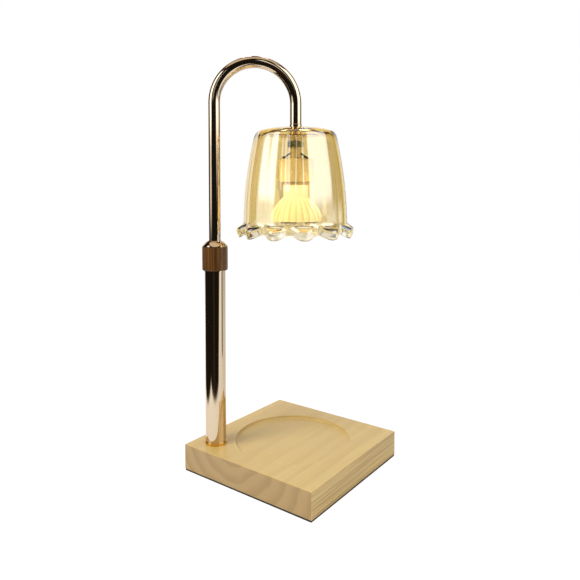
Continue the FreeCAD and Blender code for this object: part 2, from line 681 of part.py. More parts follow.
def shade_wall():
    """One smooth surface through the profiles, closed around the axis."""
    count = LOBE_COUNT * POLES_PER_LOBE
    columns = []
    for k in range(count):
        turn = 2 * math.pi * k / count
        swing = math.cos(LOBE_COUNT * turn) - LOBE_BREADTH * math.cos(2 * LOBE_COUNT * turn)
        columns.append([
            Vector(radius * math.cos(turn), radius * math.sin(turn), height)
            for radius, height in wall_profile(swing)
        ])
    rows = list(zip(*columns))
    degree = 3
    spans = len(rows) - degree
    end_knot = degree + 1
    surface = Part.BSplineSurface()
    surface.buildFromPolesMultsKnots(
        rows,
        [end_knot] + [1] * (spans - 1) + [end_knot], [1] * (count + 1),
        [float(k) for k in range(spans + 1)], [float(k) for k in range(count + 1)],
        False, True, degree, degree,
    )
    return surface.toShape()


def glass_shade():
    """Fluted glass with a ruffled rim: the wavy wall, closed by the flat crown with its hole."""
    wall = shade_wall()
    hole = SHADE_HOLE_DIAMETER / 2
    crown_edge = edges_at(wall, SHADE_TOP)[0]
    ceiling_edge = edges_at(wall, SHADE_CEILING)[0]
    faces = [wall]
    for edge, height in ((crown_edge, SHADE_TOP), (ceiling_edge, SHADE_CEILING)):
        rim = Part.Wire([Part.makeCircle(hole, Vector(0, 0, height))])
        faces.append(Part.makeFace([Part.Wire([edge]), rim], "Part::FaceMakerBullseye"))
    faces.append(Part.makeCylinder(hole, SHADE_WALL, Vector(0, 0, SHADE_CEILING)).Faces[0])
    shell = Part.makeShell(faces)
    shell.sewShape(SEAM)
    solid = Part.Solid(shell.Shells[0] if shell.ShapeType == "Compound" else shell)
    if solid.Volume < 0:
        solid.reverse()
    return at_shade(solid)


# ---------------------------------------------------------------- lamp holder
def holder_stem():
    """Gold neck: screwed on the rod, stepped at its foot and riveted through the ceramic."""
    bore = ROD_RADIUS + FIXED_GAP
    chamber = STEM_CHAMBER_DIAMETER / 2
    steps = [radius / 2 for radius in STEM_STEP_DIAMETERS]
    step_high = HOLDER_TOP + STEM_STEP_HEIGHTS[1]
    stem_low = step_high + STEM_STEP_HEIGHTS[0]
    rivet_low = COVER_CEILING - STEM_RIVET_THICKNESS
    body = turned([
        (chamber, rivet_low), (STEM_RIVET_DIAMETER / 2, rivet_low), (STEM_RIVET_DIAMETER / 2, COVER_CEILING),
        (STEM_TAIL_DIAMETER / 2, COVER_CEILING), (STEM_TAIL_DIAMETER / 2, HOLDER_TOP), (steps[1], HOLDER_TOP),
        (steps[1], step_high), (steps[0], step_high), (steps[0], stem_low), (STEM_DIAMETER / 2, stem_low),
        (STEM_DIAMETER / 2, STEM_TOP), (bore, STEM_TOP), (bore, ROD_LOW), (chamber, ROD_LOW),
    ])
    slot = Part.makeBox(
        2 * STEM_DIAMETER, STEM_SLOT_WIDTH, STEM_SLOT_HEIGHT,
        Vector(-STEM_DIAMETER, -STEM_SLOT_WIDTH / 2, WIRE_SLOT_LOW),
    )
    return at_shade(body.cut(slot))


def terminal_ears():
    """The two raised blocks on the holder's cover that carry the terminal screws."""
    top = HOLDER_TOP + EAR_HEIGHT
    taper = turned([
        (0, HOLDER_TOP), (HOLDER_RADIUS, HOLDER_TOP), (EAR_TOP_DIAMETER / 2, top), (0, top),
    ])
    blocks = []
    for side in (-1, 1):
        low_x = EAR_INNER if side > 0 else -HOLDER_RADIUS
        block = Part.makeBox(
            HOLDER_RADIUS - EAR_INNER, EAR_BACK - EAR_FRONT, EAR_HEIGHT, Vector(low_x, EAR_FRONT, HOLDER_TOP)
        )
        blocks.append(block.common(taper))
    return blocks


def terminal_places():
    """Where the terminal screws stand, about the holder's axis."""
    across = (EAR_FRONT + EAR_BACK) / 2
    return [(-TERMINAL_OFFSET, across), (TERMINAL_OFFSET, across)]


def holder_cover():
    """Upper ceramic half: roof with the terminal ears and a hollow for the contacts."""
    body = turned([
        (0, COVER_LOW), (HOLDER_RADIUS, COVER_LOW), (HOLDER_RADIUS, HOLDER_TOP - HOLDER_CHAMFER),
        (HOLDER_RADIUS - HOLDER_CHAMFER, HOLDER_TOP), (0, HOLDER_TOP),
    ])
    for ear in terminal_ears():
        body = body.fuse(ear)
    hollow = rod(HOLDER_RADIUS - HOLDER_WALL, COVER_LOW - OVERCUT, COVER_CEILING)
    over = HOLDER_TOP + OVERCUT
    stem_hole = rod(STEM_TAIL_DIAMETER / 2 + FIXED_GAP, COVER_LOW, over)
    body = body.cut(hollow).cut(stem_hole)
    ear_top = HOLDER_TOP + EAR_HEIGHT
    for x, y in terminal_places():
        screw_hole = rod(TERMINAL_SHAFT / 2 + FIXED_GAP, ear_top - TERMINAL_DEPTH, ear_top + OVERCUT, x, y)
        body = body.cut(screw_hole)
    for side in (-1, 1):
        wire_hole = rod(WIRE_DIAMETER / 2 + WIRE_HOLE_ROOM, COVER_LOW, over, side * WIRE_HOLE_OFFSET)
        rivet_hole = rod(RIVET_SHAFT / 2 + FIXED_GAP, COVER_LOW, over, 0, side * RIVET_OFFSET)
        body = body.cut(wire_hole).cut(rivet_hole)
    return at_shade(body.removeSplitter())


def keyhole(start_angle):
    """A bayonet slot for one pin: narrow where it locks, round where the head goes in."""
    neck = PIN_NECK / 2 + FREE_GAP
    head = PIN_HEAD / 2 + FREE_GAP
    low = SOCKET_CEILING - OVERCUT
    high = BODY_TOP + OVERCUT
    track = ring(PIN_RADIUS + neck, PIN_RADIUS - neck, low, high)
    end_angle = start_angle - BULB_TWIST
    far = 2 * PIN_SPACING
    corners = [Vector(0, 0, low)]
    for angle in (start_angle, (start_angle + end_angle) / 2, end_angle):
        corners.append(Vector(far * math.cos(math.radians(angle)), far * math.sin(math.radians(angle)), low))
    wedge = Part.Face(Part.makePolygon(corners + corners[:1])).extrude(Vector(0, 0, high - low))
    slot = track.common(wedge)
    for angle, radius in ((start_angle, neck), (end_angle, head)):
        x = PIN_RADIUS * math.cos(math.radians(angle))
        y = PIN_RADIUS * math.sin(math.radians(angle))
        slot = slot.fuse(rod(radius, low, high, x, y))
    return slot


def holder_body():
    """Lower ceramic half: the round socket for the bulb's foot and the two keyholes."""
    body = turned([
        (0, HOLDER_LOW), (HOLDER_RADIUS - HOLDER_CHAMFER, HOLDER_LOW),
        (HOLDER_RADIUS, HOLDER_LOW + HOLDER_CHAMFER), (HOLDER_RADIUS, BODY_TOP), (0, BODY_TOP),
    ])
    body = body.cut(rod(SOCKET_DIAMETER / 2, HOLDER_LOW - OVERCUT, SOCKET_CEILING))
    for angle in (0, 180):
        body = body.cut(keyhole(angle))
    for side in (-1, 1):
        y = side * RIVET_OFFSET
        low = SOCKET_CEILING - OVERCUT
        hole = rod(RIVET_SHAFT / 2 + FIXED_GAP, low, BODY_TOP + OVERCUT, 0, y)
        sink = rod(RIVET_HEAD / 2 + FIXED_GAP, low, SOCKET_CEILING + RIVET_HEAD_HEIGHT, 0, y)
        body = body.cut(hole).cut(sink)
    return at_shade(body)


def holder_rivets():
    """The two rivets that hold the ceramic halves together, sunk flush in the socket."""
    rivets = []
    for side in (-1, 1):
        y = side * RIVET_OFFSET
        shaft = rod(RIVET_SHAFT / 2, SOCKET_CEILING, HOLDER_TOP + RIVET_HEAD_HEIGHT, 0, y)
        sunk = rod(RIVET_HEAD / 2, SOCKET_CEILING, SOCKET_CEILING + RIVET_HEAD_HEIGHT, 0, y)
        head = rod(RIVET_HEAD / 2, HOLDER_TOP, HOLDER_TOP + RIVET_HEAD_HEIGHT, 0, y)
        rivets.append(shaft.fuse([sunk, head]).removeSplitter())
    return at_shade(Part.makeCompound(rivets))


def holder_contacts():
    """Curved spring strips beside the pins' heads, standing on the lower half."""
    inner = PIN_RADIUS + PIN_HEAD / 2 + FREE_GAP
    strips = []
    for angle in (0, 180):
        strip = Part.makeCylinder(inner + CONTACT_THICKNESS, CONTACT_HEIGHT, Vector(0, 0, BODY_TOP),
                                  Vector(0, 0, 1), BULB_TWIST)
        strip = strip.cut(rod(inner, BODY_TOP - OVERCUT, BODY_TOP + CONTACT_HEIGHT + OVERCUT))
        strip.rotate(Vector(), Vector(0, 0, 1), angle - BULB_TWIST)
        strips.append(strip)
    return at_shade(Part.makeCompound(strips))


def terminal_screws():
    top = HOLDER_TOP + EAR_HEIGHT
    screws = []
    for x, y in terminal_places():
        shaft = rod(TERMINAL_SHAFT / 2, top - TERMINAL_DEPTH, top + TERMINAL_HEAD_HEIGHT, x, y)
        head = rod(TERMINAL_HEAD / 2, top, top + TERMINAL_HEAD_HEIGHT, x, y)
        screws.append(shaft.fuse(head).removeSplitter())
    return at_shade(Part.makeCompound(screws))


def holder_wires():
    """The lead's two wires: out of the stem's slots and down into the ceramic cover."""
    wires = []
    out_height = (WIRE_SLOT_LOW + ROD_LOW) / 2
    for side in (-1, 1):
        inner = Vector(side * (WIRE_DIAMETER / 2 + FIXED_GAP), 0, out_height)
        knee = Vector(side * (WIRE_HOLE_OFFSET - WIRE_KNEE), 0, out_height)
        corner = Vector(side * WIRE_HOLE_OFFSET, 0, HOLDER_TOP + WIRE_FALL)
        end = Vector(side * WIRE_HOLE_OFFSET, 0, COVER_CEILING - WIRE_DIAMETER)
        wires.append(rounded_run([inner, knee, corner, end], WIRE_BEND_RADIUS, WIRE_DIAMETER / 2))
    return at_shade(Part.makeCompound(wires))


def rounded_run(points, bend, radius):
    """A round solid along straight runs joined by tangent arcs of one radius."""
    edges = []
    place = points[0]
    for before, here, after in zip(points, points[1:], points[2:]):
        back = (before - here).normalize()
        ahead = (after - here).normalize()
        half = back.getAngle(ahead) / 2
        trim = bend / math.tan(half)
        arc_in = here + back * trim
        arc_out = here + ahead * trim
        inward = (back + ahead).normalize()
        arc_mid = here + inward * (bend / math.sin(half) - bend)
        edges.append(Part.LineSegment(place, arc_in).toShape())
        edges.append(Part.Arc(arc_in, arc_mid, arc_out).toShape())
        place = arc_out
    edges.append(Part.LineSegment(place, points[-1]).toShape())
    return pipe(edges, radius)


# ---------------------------------------------------------------- bulb
def bulb_base():
    """White foot of the bulb, which stands in the socket."""
    outer = BULB_BASE_DIAMETER / 2
    spigot = BULB_NECK_DIAMETER / 2 - BULB_WALL - FIXED_GAP
    chamfer = HOLDER_CHAMFER
    return at_shade(turned([
        (0, BULB_BASE_LOW), (spigot, BULB_BASE_LOW), (spigot, BULB_NECK_TOP), (outer, BULB_NECK_TOP),
        (outer, BULB_TOP - chamfer), (outer - chamfer, BULB_TOP), (0, BULB_TOP),
    ]))


def bulb_pins():
    pins = []
    head_low = BULB_TOP + PIN_LENGTH - PIN_HEAD_LENGTH
    for side in (-1, 1):
        x = side * PIN_RADIUS
        neck = rod(PIN_NECK / 2, BULB_TOP, head_low, x)
        head = rod(PIN_HEAD / 2, head_low, BULB_TOP + PIN_LENGTH, x)
        pins.append(neck.fuse(head).removeSplitter())
    return at_shade(Part.makeCompound(pins))


def bell_radius(share):
    """The reflector's outer radius, from the neck (0) to the rim (1)."""
    neck = BULB_NECK_DIAMETER / 2
    return neck + (BULB_RIM_DIAMETER / 2 - neck) * (1 - (1 - share) ** BULB_BELL_POWER)


def bell_side(offset, above, below):
    """One side of the bell's wall, moved outward by offset, with straight stretches above and below."""
    points = []
    for k in range(BULB_BELL_STEPS + 1):
        share = k / BULB_BELL_STEPS
        points.append(Vector(bell_radius(share) + offset, 0, BELL_TOP - BULB_BELL_HEIGHT * share))
    curve = Part.BSplineCurve()
    curve.interpolate(points)
    edges = [curve.toShape()]
    top = points[0] + Vector(0, 0, above)
    foot = points[-1] - Vector(0, 0, below)
    if above:
        edges.append(Part.LineSegment(top, points[0]).toShape())
    if below:
        edges.append(Part.LineSegment(points[-1], foot).toShape())
    return edges, top, foot


def bell_section(outer, inner, above, below):
    """The face between two sides of the bell."""
    outside, top_out, foot_out = bell_side(outer, above, below)
    inside, top_in, foot_in = bell_side(inner, above, below)
    ends = [Part.LineSegment(top_out, top_in).toShape(), Part.LineSegment(foot_out, foot_in).toShape()]
    return Part.Face(Part.Wire(Part.sortEdges(outside + inside + ends)[0]))


def bulb_reflector():
    """Ribbed glass bell, open at the neck for the foot and at the rim for the lens."""
    wall = bell_section(0, -BULB_WALL, BULB_NECK_HEIGHT, BULB_RIM_HEIGHT)
    body = wall.revolve(Vector(), Vector(0, 0, 1), 360)
    fin = bell_section(BULB_RIB_HEIGHT, -BULB_WALL / 2, 0, 0)
    fin.translate(Vector(0, -BULB_RIB_WIDTH / 2, 0))
    bell_room = rod(BULB_RIM_DIAMETER / 2, RIM_TOP, BELL_TOP)
    ribs = []
    for k in range(BULB_RIB_COUNT):
        rib = fin.extrude(Vector(0, BULB_RIB_WIDTH, 0)).common(bell_room)
        rib.rotate(Vector(), Vector(0, 0, 1), 360 * k / BULB_RIB_COUNT)
        ribs.append(rib)
    return at_shade(body.fuse(ribs))


def bulb_lens():
    low = BULB_LOW + LENS_SETBACK
    return at_shade(rod(BULB_RIM_DIAMETER / 2 - BULB_WALL - FIXED_GAP, low, low + LENS_THICKNESS))


def bulb_capsule():
    """The small burner that stands on the foot, inside the reflector."""
    radius = CAPSULE_DIAMETER / 2
    low = BULB_BASE_LOW - CAPSULE_LENGTH
    body = rod(radius, low, BULB_BASE_LOW)
    return at_shade(body.makeFillet(CAPSULE_ROUNDING, edges_at(body, low)))


# ---------------------------------------------------------------- output
PIECES = {
    "wood_base": wood_base,
    "base_pad": base_pad,
    "lead_grommet": lead_grommet,
    "base_lead": base_lead,
    "base_nipple": base_nipple,
    "base_washer": base_washer,
    "base_nut": base_nut,
    "foot_ring": foot_ring,
    "post_tube": post_tube,
    "foot_insert": foot_insert,
    "post_lead": post_lead,
    "collet": collet,
    "collar_nut": collar_nut,
    "collar_grip": collar_grip,
    "guide_bush": guide_bush,
    "gooseneck": gooseneck,
    "stop_rings": stop_rings,
    "neck_lead": neck_lead,
    "leg_insert": leg_insert,
    "shade_rod": shade_rod,
    "shade_ferrule": shade_ferrule,
    "shade_gaskets": shade_gaskets,
    "glass_shade": glass_shade,
    "shade_nut": shade_nut,
    "lock_washer": lock_washer,
    "lock_nut": lock_nut,
    "holder_stem": holder_stem,
    "holder_cover": holder_cover,
    "holder_body": holder_body,
    "holder_rivets": holder_rivets,
    "holder_contacts": holder_contacts,
    "terminal_screws": terminal_screws,
    "holder_wires": holder_wires,
    "bulb_base": bulb_base,
    "bulb_pins": bulb_pins,
    "bulb_reflector": bulb_reflector,
    "bulb_lens": bulb_lens,
    "bulb_capsule": bulb_capsule,
}

os.makedirs("parts", exist_ok=True)
for name, make in PIECES.items():
    shape = make()
    shape.exportStep(os.path.join("parts", name + ".step"))
    print(name, "solids", len(shape.Solids), "valid", shape.isValid(), "volume", round(shape.Volume, 1))
print("height range", round(LOWER_LIMIT, 2), round(RAISE_LIMIT, 2))
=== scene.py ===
import math

import bmesh
import bpy
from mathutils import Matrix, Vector


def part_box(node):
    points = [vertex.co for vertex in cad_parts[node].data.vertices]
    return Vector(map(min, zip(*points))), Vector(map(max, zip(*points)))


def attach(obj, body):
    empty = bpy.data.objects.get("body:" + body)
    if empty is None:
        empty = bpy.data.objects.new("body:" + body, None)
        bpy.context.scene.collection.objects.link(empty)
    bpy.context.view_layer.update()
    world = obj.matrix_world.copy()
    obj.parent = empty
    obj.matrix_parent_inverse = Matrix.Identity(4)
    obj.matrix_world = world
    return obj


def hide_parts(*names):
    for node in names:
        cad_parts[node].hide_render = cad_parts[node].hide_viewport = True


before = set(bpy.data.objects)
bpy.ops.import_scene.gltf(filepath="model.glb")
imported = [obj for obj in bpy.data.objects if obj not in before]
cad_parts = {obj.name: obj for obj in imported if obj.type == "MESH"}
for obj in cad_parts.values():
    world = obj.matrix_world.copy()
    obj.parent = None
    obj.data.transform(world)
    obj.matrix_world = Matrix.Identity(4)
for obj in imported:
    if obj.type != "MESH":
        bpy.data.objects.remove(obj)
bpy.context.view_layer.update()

# Candle warmer lamp. Metres; the origin is the middle of the base's underside, +Z up, and the
# base's sides lie along X and Y. The post stands in the (-X, -Y) corner.

MM = 0.001


# ---------------------------------------------------------------- places taken from the frame
def middle(node):
    """The middle of a node's box."""
    low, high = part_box(node)
    return (low + high) / 2


def top(node):
    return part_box(node)[1].z


def bottom(node):
    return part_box(node)[0].z


SHADE_AXIS = middle("shade_nut").xy
POST_AXIS = middle("post_tube").xy
BASE_TOP = top("wood_base")
SHADE_TOP = top("glass_shade")


# ---------------------------------------------------------------- camera
# Azimuth 0 looks along +Y. The picture is square, and the view is shifted to keep uprights upright.
CAMERA_PLACE = Vector((0.3361, -0.45226, 0.27138))
CAMERA_AZIMUTH = math.radians(36.88)
CAMERA_PITCH = math.radians(-2.36)
SENSOR_WIDTH = 36.0
CAMERA_LENS = 35.571
CAMERA_SHIFT = -0.1292
TOWARDS_CAMERA = Vector((math.sin(CAMERA_AZIMUTH), -math.cos(CAMERA_AZIMUTH), 0))
CAMERA_RIGHT = Vector((math.cos(CAMERA_AZIMUTH), math.sin(CAMERA_AZIMUTH), 0))


def add_camera():
    lens = bpy.data.cameras.new("camera")
    lens.sensor_width = SENSOR_WIDTH
    lens.lens = CAMERA_LENS
    lens.shift_y = CAMERA_SHIFT
    camera = bpy.data.objects.new("camera", lens)
    bpy.context.scene.collection.objects.link(camera)
    camera.location = CAMERA_PLACE
    camera.rotation_euler = (math.pi / 2 + CAMERA_PITCH, 0, CAMERA_AZIMUTH)
    bpy.context.scene.camera = camera


# ---------------------------------------------------------------- shader nodes
WHITE = (1, 1, 1, 1)


def colour(red, green, blue):
    """A colour as it looks on a screen, 0 to 255, made linear for a shader socket."""
    def linear(value):
        share = value / 255
        return share / 12.92 if share <= 0.04045 else ((share + 0.055) / 1.055) ** 2.4
    return (linear(red), linear(green), linear(blue), 1.0)


def put(socket, value):
    """Gives a socket a value, or links it to another node's socket."""
    if isinstance(value, bpy.types.NodeSocket):
        socket.id_data.links.new(value, socket)
    else:
        socket.default_value = value


def add(tree, kind, settings=None, **inputs):
    """A shader node. Its inputs are named by keyword, with _ for a space."""
    node = tree.nodes.new(kind)
    for name, value in (settings or {}).items():
        setattr(node, name, value)
    for name, value in inputs.items():
        put(node.inputs[name.replace("_", " ")], value)
    return node


def calculate(tree, operation, *values, clamp=False):
    """A Math node's result."""
    node = add(tree, "ShaderNodeMath", {"operation": operation, "use_clamp": clamp})
    for socket, value in zip(node.inputs, values):
        put(socket, value)
    return node.outputs[0]


def ramp(tree, value, low, high, to_low=0.0, to_high=1.0):
    """A smooth step: to_low below low, to_high above high."""
    node = add(
        tree, "ShaderNodeMapRange", {"interpolation_type": "SMOOTHSTEP"},
        From_Min=low, From_Max=high, To_Min=to_low, To_Max=to_high,
    )
    put(node.inputs["Value"], value)
    return node.outputs["Result"]


def blend(tree, share, first, second):
    """first where share is 0, second where it is 1: a colour."""
    node = add(tree, "ShaderNodeMix", {"data_type": "RGBA"})
    put(node.inputs["Factor"], share)
    put(node.inputs[6], first)
    put(node.inputs[7], second)
    return node.outputs[2]


def tinge(tree, tint, mask, strength, towards):
    """Moves a colour towards another by a strength, where a mask is 1."""
    return blend(tree, calculate(tree, "MULTIPLY", mask, strength), tint, towards)


def dot(tree, first, second):
    """How far one vector runs along another."""
    node = add(tree, "ShaderNodeVectorMath", {"operation": "DOT_PRODUCT"})
    put(node.inputs[0], first)
    put(node.inputs[1], second)
    return node.outputs["Value"]


def place(tree, scale=(1, 1, 1), move=(0, 0, 0), turn=(0, 0, 0)):
    """The piece's own coordinates, moved, turned and scaled."""
    coordinates = add(tree, "ShaderNodeTexCoord")
    mapping = add(
        tree, "ShaderNodeMapping", {"vector_type": "POINT"},
        Location=move, Rotation=turn, Scale=scale,
    )
    put(mapping.inputs["Vector"], coordinates.outputs["Object"])
    return mapping.outputs["Vector"]


def noise(tree, vector, scale, detail=3.0, roughness=0.5):
    """Cloudy values around 0.5, finer with a greater scale."""
    node = add(tree, "ShaderNodeTexNoise", Scale=scale, Detail=detail, Roughness=roughness)
    put(node.inputs["Vector"], vector)
    return node.outputs["Fac"]


def new_group(name, inputs, outputs):
    """A shader node group. Inputs and outputs are (name, socket type, value) rows."""
    tree = bpy.data.node_groups.new(name, "ShaderNodeTree")
    for title, kind, value in inputs:
        socket = tree.interface.new_socket(title, in_out="INPUT", socket_type=kind)
        socket.default_value = value
    for title, kind in outputs:
        tree.interface.new_socket(title, in_out="OUTPUT", socket_type=kind)
    entry = tree.nodes.new("NodeGroupInput")
    leave = tree.nodes.new("NodeGroupOutput")
    return tree, entry.outputs, leave.inputs


def use(tree, group, **inputs):
    """Places a shared effect in a material."""
    node = tree.nodes.new("ShaderNodeGroup")
    node.node_tree = group
    for name, value in inputs.items():
        put(node.inputs[name.replace("_", " ")], value)
    return node.outputs


def new_material(name):
    """A material, its tree and the sockets of its Principled shader."""
    material = bpy.data.materials.new(name)
    material.use_nodes = True
    tree = material.node_tree
    tree.nodes.clear()
    output = tree.nodes.new("ShaderNodeOutputMaterial")
    shader = tree.nodes.new("ShaderNodeBsdfPrincipled")
    tree.links.new(shader.outputs[0], output.inputs["Surface"])
    return material, tree, shader.inputs


# ---------------------------------------------------------------- shared effects
FINE_GRAIN = 14.0          # times finer than the smudges
SMOOTHEST = 0.02           # the least roughness of a touched surface


def make_handling():
    """Smudges and fine dust: a mottled colour and an uneven roughness."""
    tree, given, gives = new_group(
        "handling",
        [
            ("Color", "NodeSocketColor", (0.8, 0.8, 0.8, 1)),
            ("Tone", "NodeSocketFloat", 0.1),
            ("Roughness", "NodeSocketFloat", 0.4),
            ("Smudge", "NodeSocketFloat", 0.1),
            ("Scale", "NodeSocketFloat", 60.0),
        ],
        [
            ("Color", "NodeSocketColor"),
            ("Roughness", "NodeSocketFloat"),
            ("Height", "NodeSocketFloat"),
        ],
    )
    spots = place(tree)
    wide = noise(tree, spots, given["Scale"], detail=4.0, roughness=0.6)
    fine_scale = calculate(tree, "MULTIPLY", given["Scale"], FINE_GRAIN)
    fine = noise(tree, spots, fine_scale, detail=2.0)
    swing = calculate(tree, "SUBTRACT", wide, 0.5)
    tone = calculate(tree, "MULTIPLY_ADD", swing, given["Tone"], 1.0)
    shade = add(tree, "ShaderNodeVectorMath", {"operation": "SCALE"})
    put(shade.inputs[0], given["Color"])
    put(shade.inputs["Scale"], tone)
    put(gives["Color"], shade.outputs[0])
    smudge = calculate(tree, "MULTIPLY_ADD", swing, given["Smudge"], given["Roughness"])
    put(gives["Roughness"], calculate(tree, "MAXIMUM", smudge, SMOOTHEST))
    put(gives["Height"], fine)
    return tree


# Used for the pine's painted edge highlight and for the metals' paler edges.
def make_sharp_edge_mask():
    """A mask that is 1 on a sharp edge and 0 on a flat."""
    tree, given, gives = new_group(
        "sharp_edge_mask",
        [("Width", "NodeSocketFloat", 0.0006), ("Strength", "NodeSocketFloat", 1.0)],
        [("Mask", "NodeSocketFloat")],
    )
    rounded = add(tree, "ShaderNodeBevel", {"samples": 4}, Radius=given["Width"])
    true = add(tree, "ShaderNodeNewGeometry")
    bent = calculate(
        tree, "SUBTRACT", 1.0, dot(tree, rounded.outputs[0], true.outputs["Normal"]),
    )
    put(gives["Mask"], calculate(tree, "MULTIPLY", bent, given["Strength"], clamp=True))
    return tree


RING_STEP = 0.12           # a pattern's step along the trunk, for each step across it
FIBRE_STEP = 0.02
PORE_STEP = 0.08
RING_BEND = 28.0           # scale of the bends in the rings
RING_RISE = (0.25, 0.86)   # where in a year the wood darkens, and where it pales at once
RING_FALL = (0.9, 1.0)
PORES_PER_FIBRE = 2.2
PORE_EDGE = (0.66, 0.78)


def make_growth_rings():
    """Wood cut from a trunk: rings around a pith that runs along Y, with fibres along Y."""
    tree, given, gives = new_group(
        "growth_rings",
        [
            ("Vector", "NodeSocketVector", (0, 0, 0)),
            ("Ring", "NodeSocketFloat", 0.015),
            ("Waviness", "NodeSocketFloat", 0.3),
            ("Fibre", "NodeSocketFloat", 900.0),
        ],
        [("Ring", "NodeSocketFloat"), ("Fibre", "NodeSocketFloat"), ("Pore", "NodeSocketFloat")],
    )
    split = add(tree, "ShaderNodeSeparateXYZ", Vector=given["Vector"])
    x, y, z = split.outputs

    def drawn_out(step):
        """The place, with a shorter step along the trunk, which draws a pattern out."""
        short_y = calculate(tree, "MULTIPLY", y, step)
        return add(tree, "ShaderNodeCombineXYZ", X=x, Y=short_y, Z=z).outputs[0]

    bend = noise(tree, drawn_out(RING_STEP), RING_BEND, detail=2.0)
    radius = calculate(tree, "SQRT", calculate(
        tree, "ADD", calculate(tree, "MULTIPLY", x, x), calculate(tree, "MULTIPLY", z, z),
    ))
    count = calculate(tree, "DIVIDE", radius, given["Ring"])
    bend_swing = calculate(tree, "SUBTRACT", bend, 0.5)
    count = calculate(tree, "MULTIPLY_ADD", bend_swing, given["Waviness"], count)
    saw = calculate(tree, "FRACT", count)
    rise = ramp(tree, saw, *RING_RISE)
    fall = ramp(tree, saw, *RING_FALL, 1.0, 0.0)
    put(gives["Ring"], calculate(tree, "MULTIPLY", rise, fall))
    fibre = noise(tree, drawn_out(FIBRE_STEP), given["Fibre"], detail=3.0, roughness=0.65)
    put(gives["Fibre"], fibre)
    pore_scale = calculate(tree, "MULTIPLY", given["Fibre"], PORES_PER_FIBRE)
    pore = noise(tree, drawn_out(PORE_STEP), pore_scale, detail=1.0)
    put(gives["Pore"], ramp(tree, pore, *PORE_EDGE))
    return tree


def bump(tree, height, strength, distance):
    """A normal that leans with a height."""
    node = add(tree, "ShaderNodeBump", Strength=strength, Distance=distance)
    put(node.inputs["Height"], height)
    return node.outputs["Normal"]


HANDLING = make_handling()
SHARP_EDGE_MASK = make_sharp_edge_mask()
GROWTH_RINGS = make_growth_rings()


# ---------------------------------------------------------------- finishes
def plain_finish(
    name, tint, roughness, tone=0.12, smudge=0.1, scale=60.0, grain=0.2, depth=0.05 * MM,
):
    """A moulded, fired or rubbery finish: mottled, with a fine grain."""
    material, tree, shader = new_material(name)
    touched = use(
        tree, HANDLING, Color=tint, Tone=tone, Roughness=roughness, Smudge=smudge, Scale=scale,
    )
    put(shader["Base Color"], touched["Color"])
    put(shader["Roughness"], touched["Roughness"])
    put(shader["Normal"], bump(tree, touched["Height"], grain, depth))
    return material, tree, shader


DRAWN_DEPTH = 0.01 * MM    # of the marks that drawing leaves on metal
METAL_SMUDGES = 45.0       # scale of the smudges
PALE_EDGE_WIDTH = 0.4 * MM
PALE_EDGE_METAL = colour(250, 240, 220)


def metal_finish(name, tint, roughness, pale_edge, tone=0.05, smudge=0.05, grain=0.05):
    """A metal with smudges, fine drawing marks and brighter edges."""
    material, tree, shader = plain_finish(
        name, tint, roughness, tone=tone, smudge=smudge, scale=METAL_SMUDGES, grain=grain,
        depth=DRAWN_DEPTH,
    )
    shader["Metallic"].default_value = 1.0
    # The metal is made paler on its sharp edges.
    mask = use(tree, SHARP_EDGE_MASK, Width=PALE_EDGE_WIDTH, Strength=pale_edge)["Mask"]
    plated = shader["Base Color"].links[0].from_socket
    put(shader["Base Color"], blend(tree, mask, plated, PALE_EDGE_METAL))
    return material


def satin_finish():
    """The gold inside the glass, which the bulb's glow makes pale."""
    material, _, shader = plain_finish("satin_gold", colour(236, 222, 186), 0.34, tone=0.12)
    shader["Metallic"].default_value = 0.5
    return material


PINE_PALE = colour(214, 185, 117)
PINE_MEAN = colour(205, 174, 107)
PINE_LATE = colour(186, 150, 88)
PINE_LINE = colour(166, 132, 78)
PINE_END = colour(164, 135, 88)
PINE_END_LATE = colour(138, 106, 60)
PITH = Vector((-16 * MM, 0, BASE_TOP + 24 * MM))     # the middle of the trunk, above the base
PINE_RING = 14 * MM
SIDE_FACING = (0.6, 0.9)   # how squarely a face looks along an axis
SIDE_PLACE = (62 * MM, 70 * MM)      # beyond the recess
BROAD_STEP = (1, 0.15, 1)  # broad bands and fine lines, both drawn out along the trunk
BROAD_SCALE = 22.0
LINE_STEP = (1, 0.008, 1)
LINE_SCALE = 950.0
LINE_EDGE = (0.45, 0.58)
# width of the painted highlight along the pine's edges
PINE_HIGHLIGHT_WIDTH = 1.2 * MM


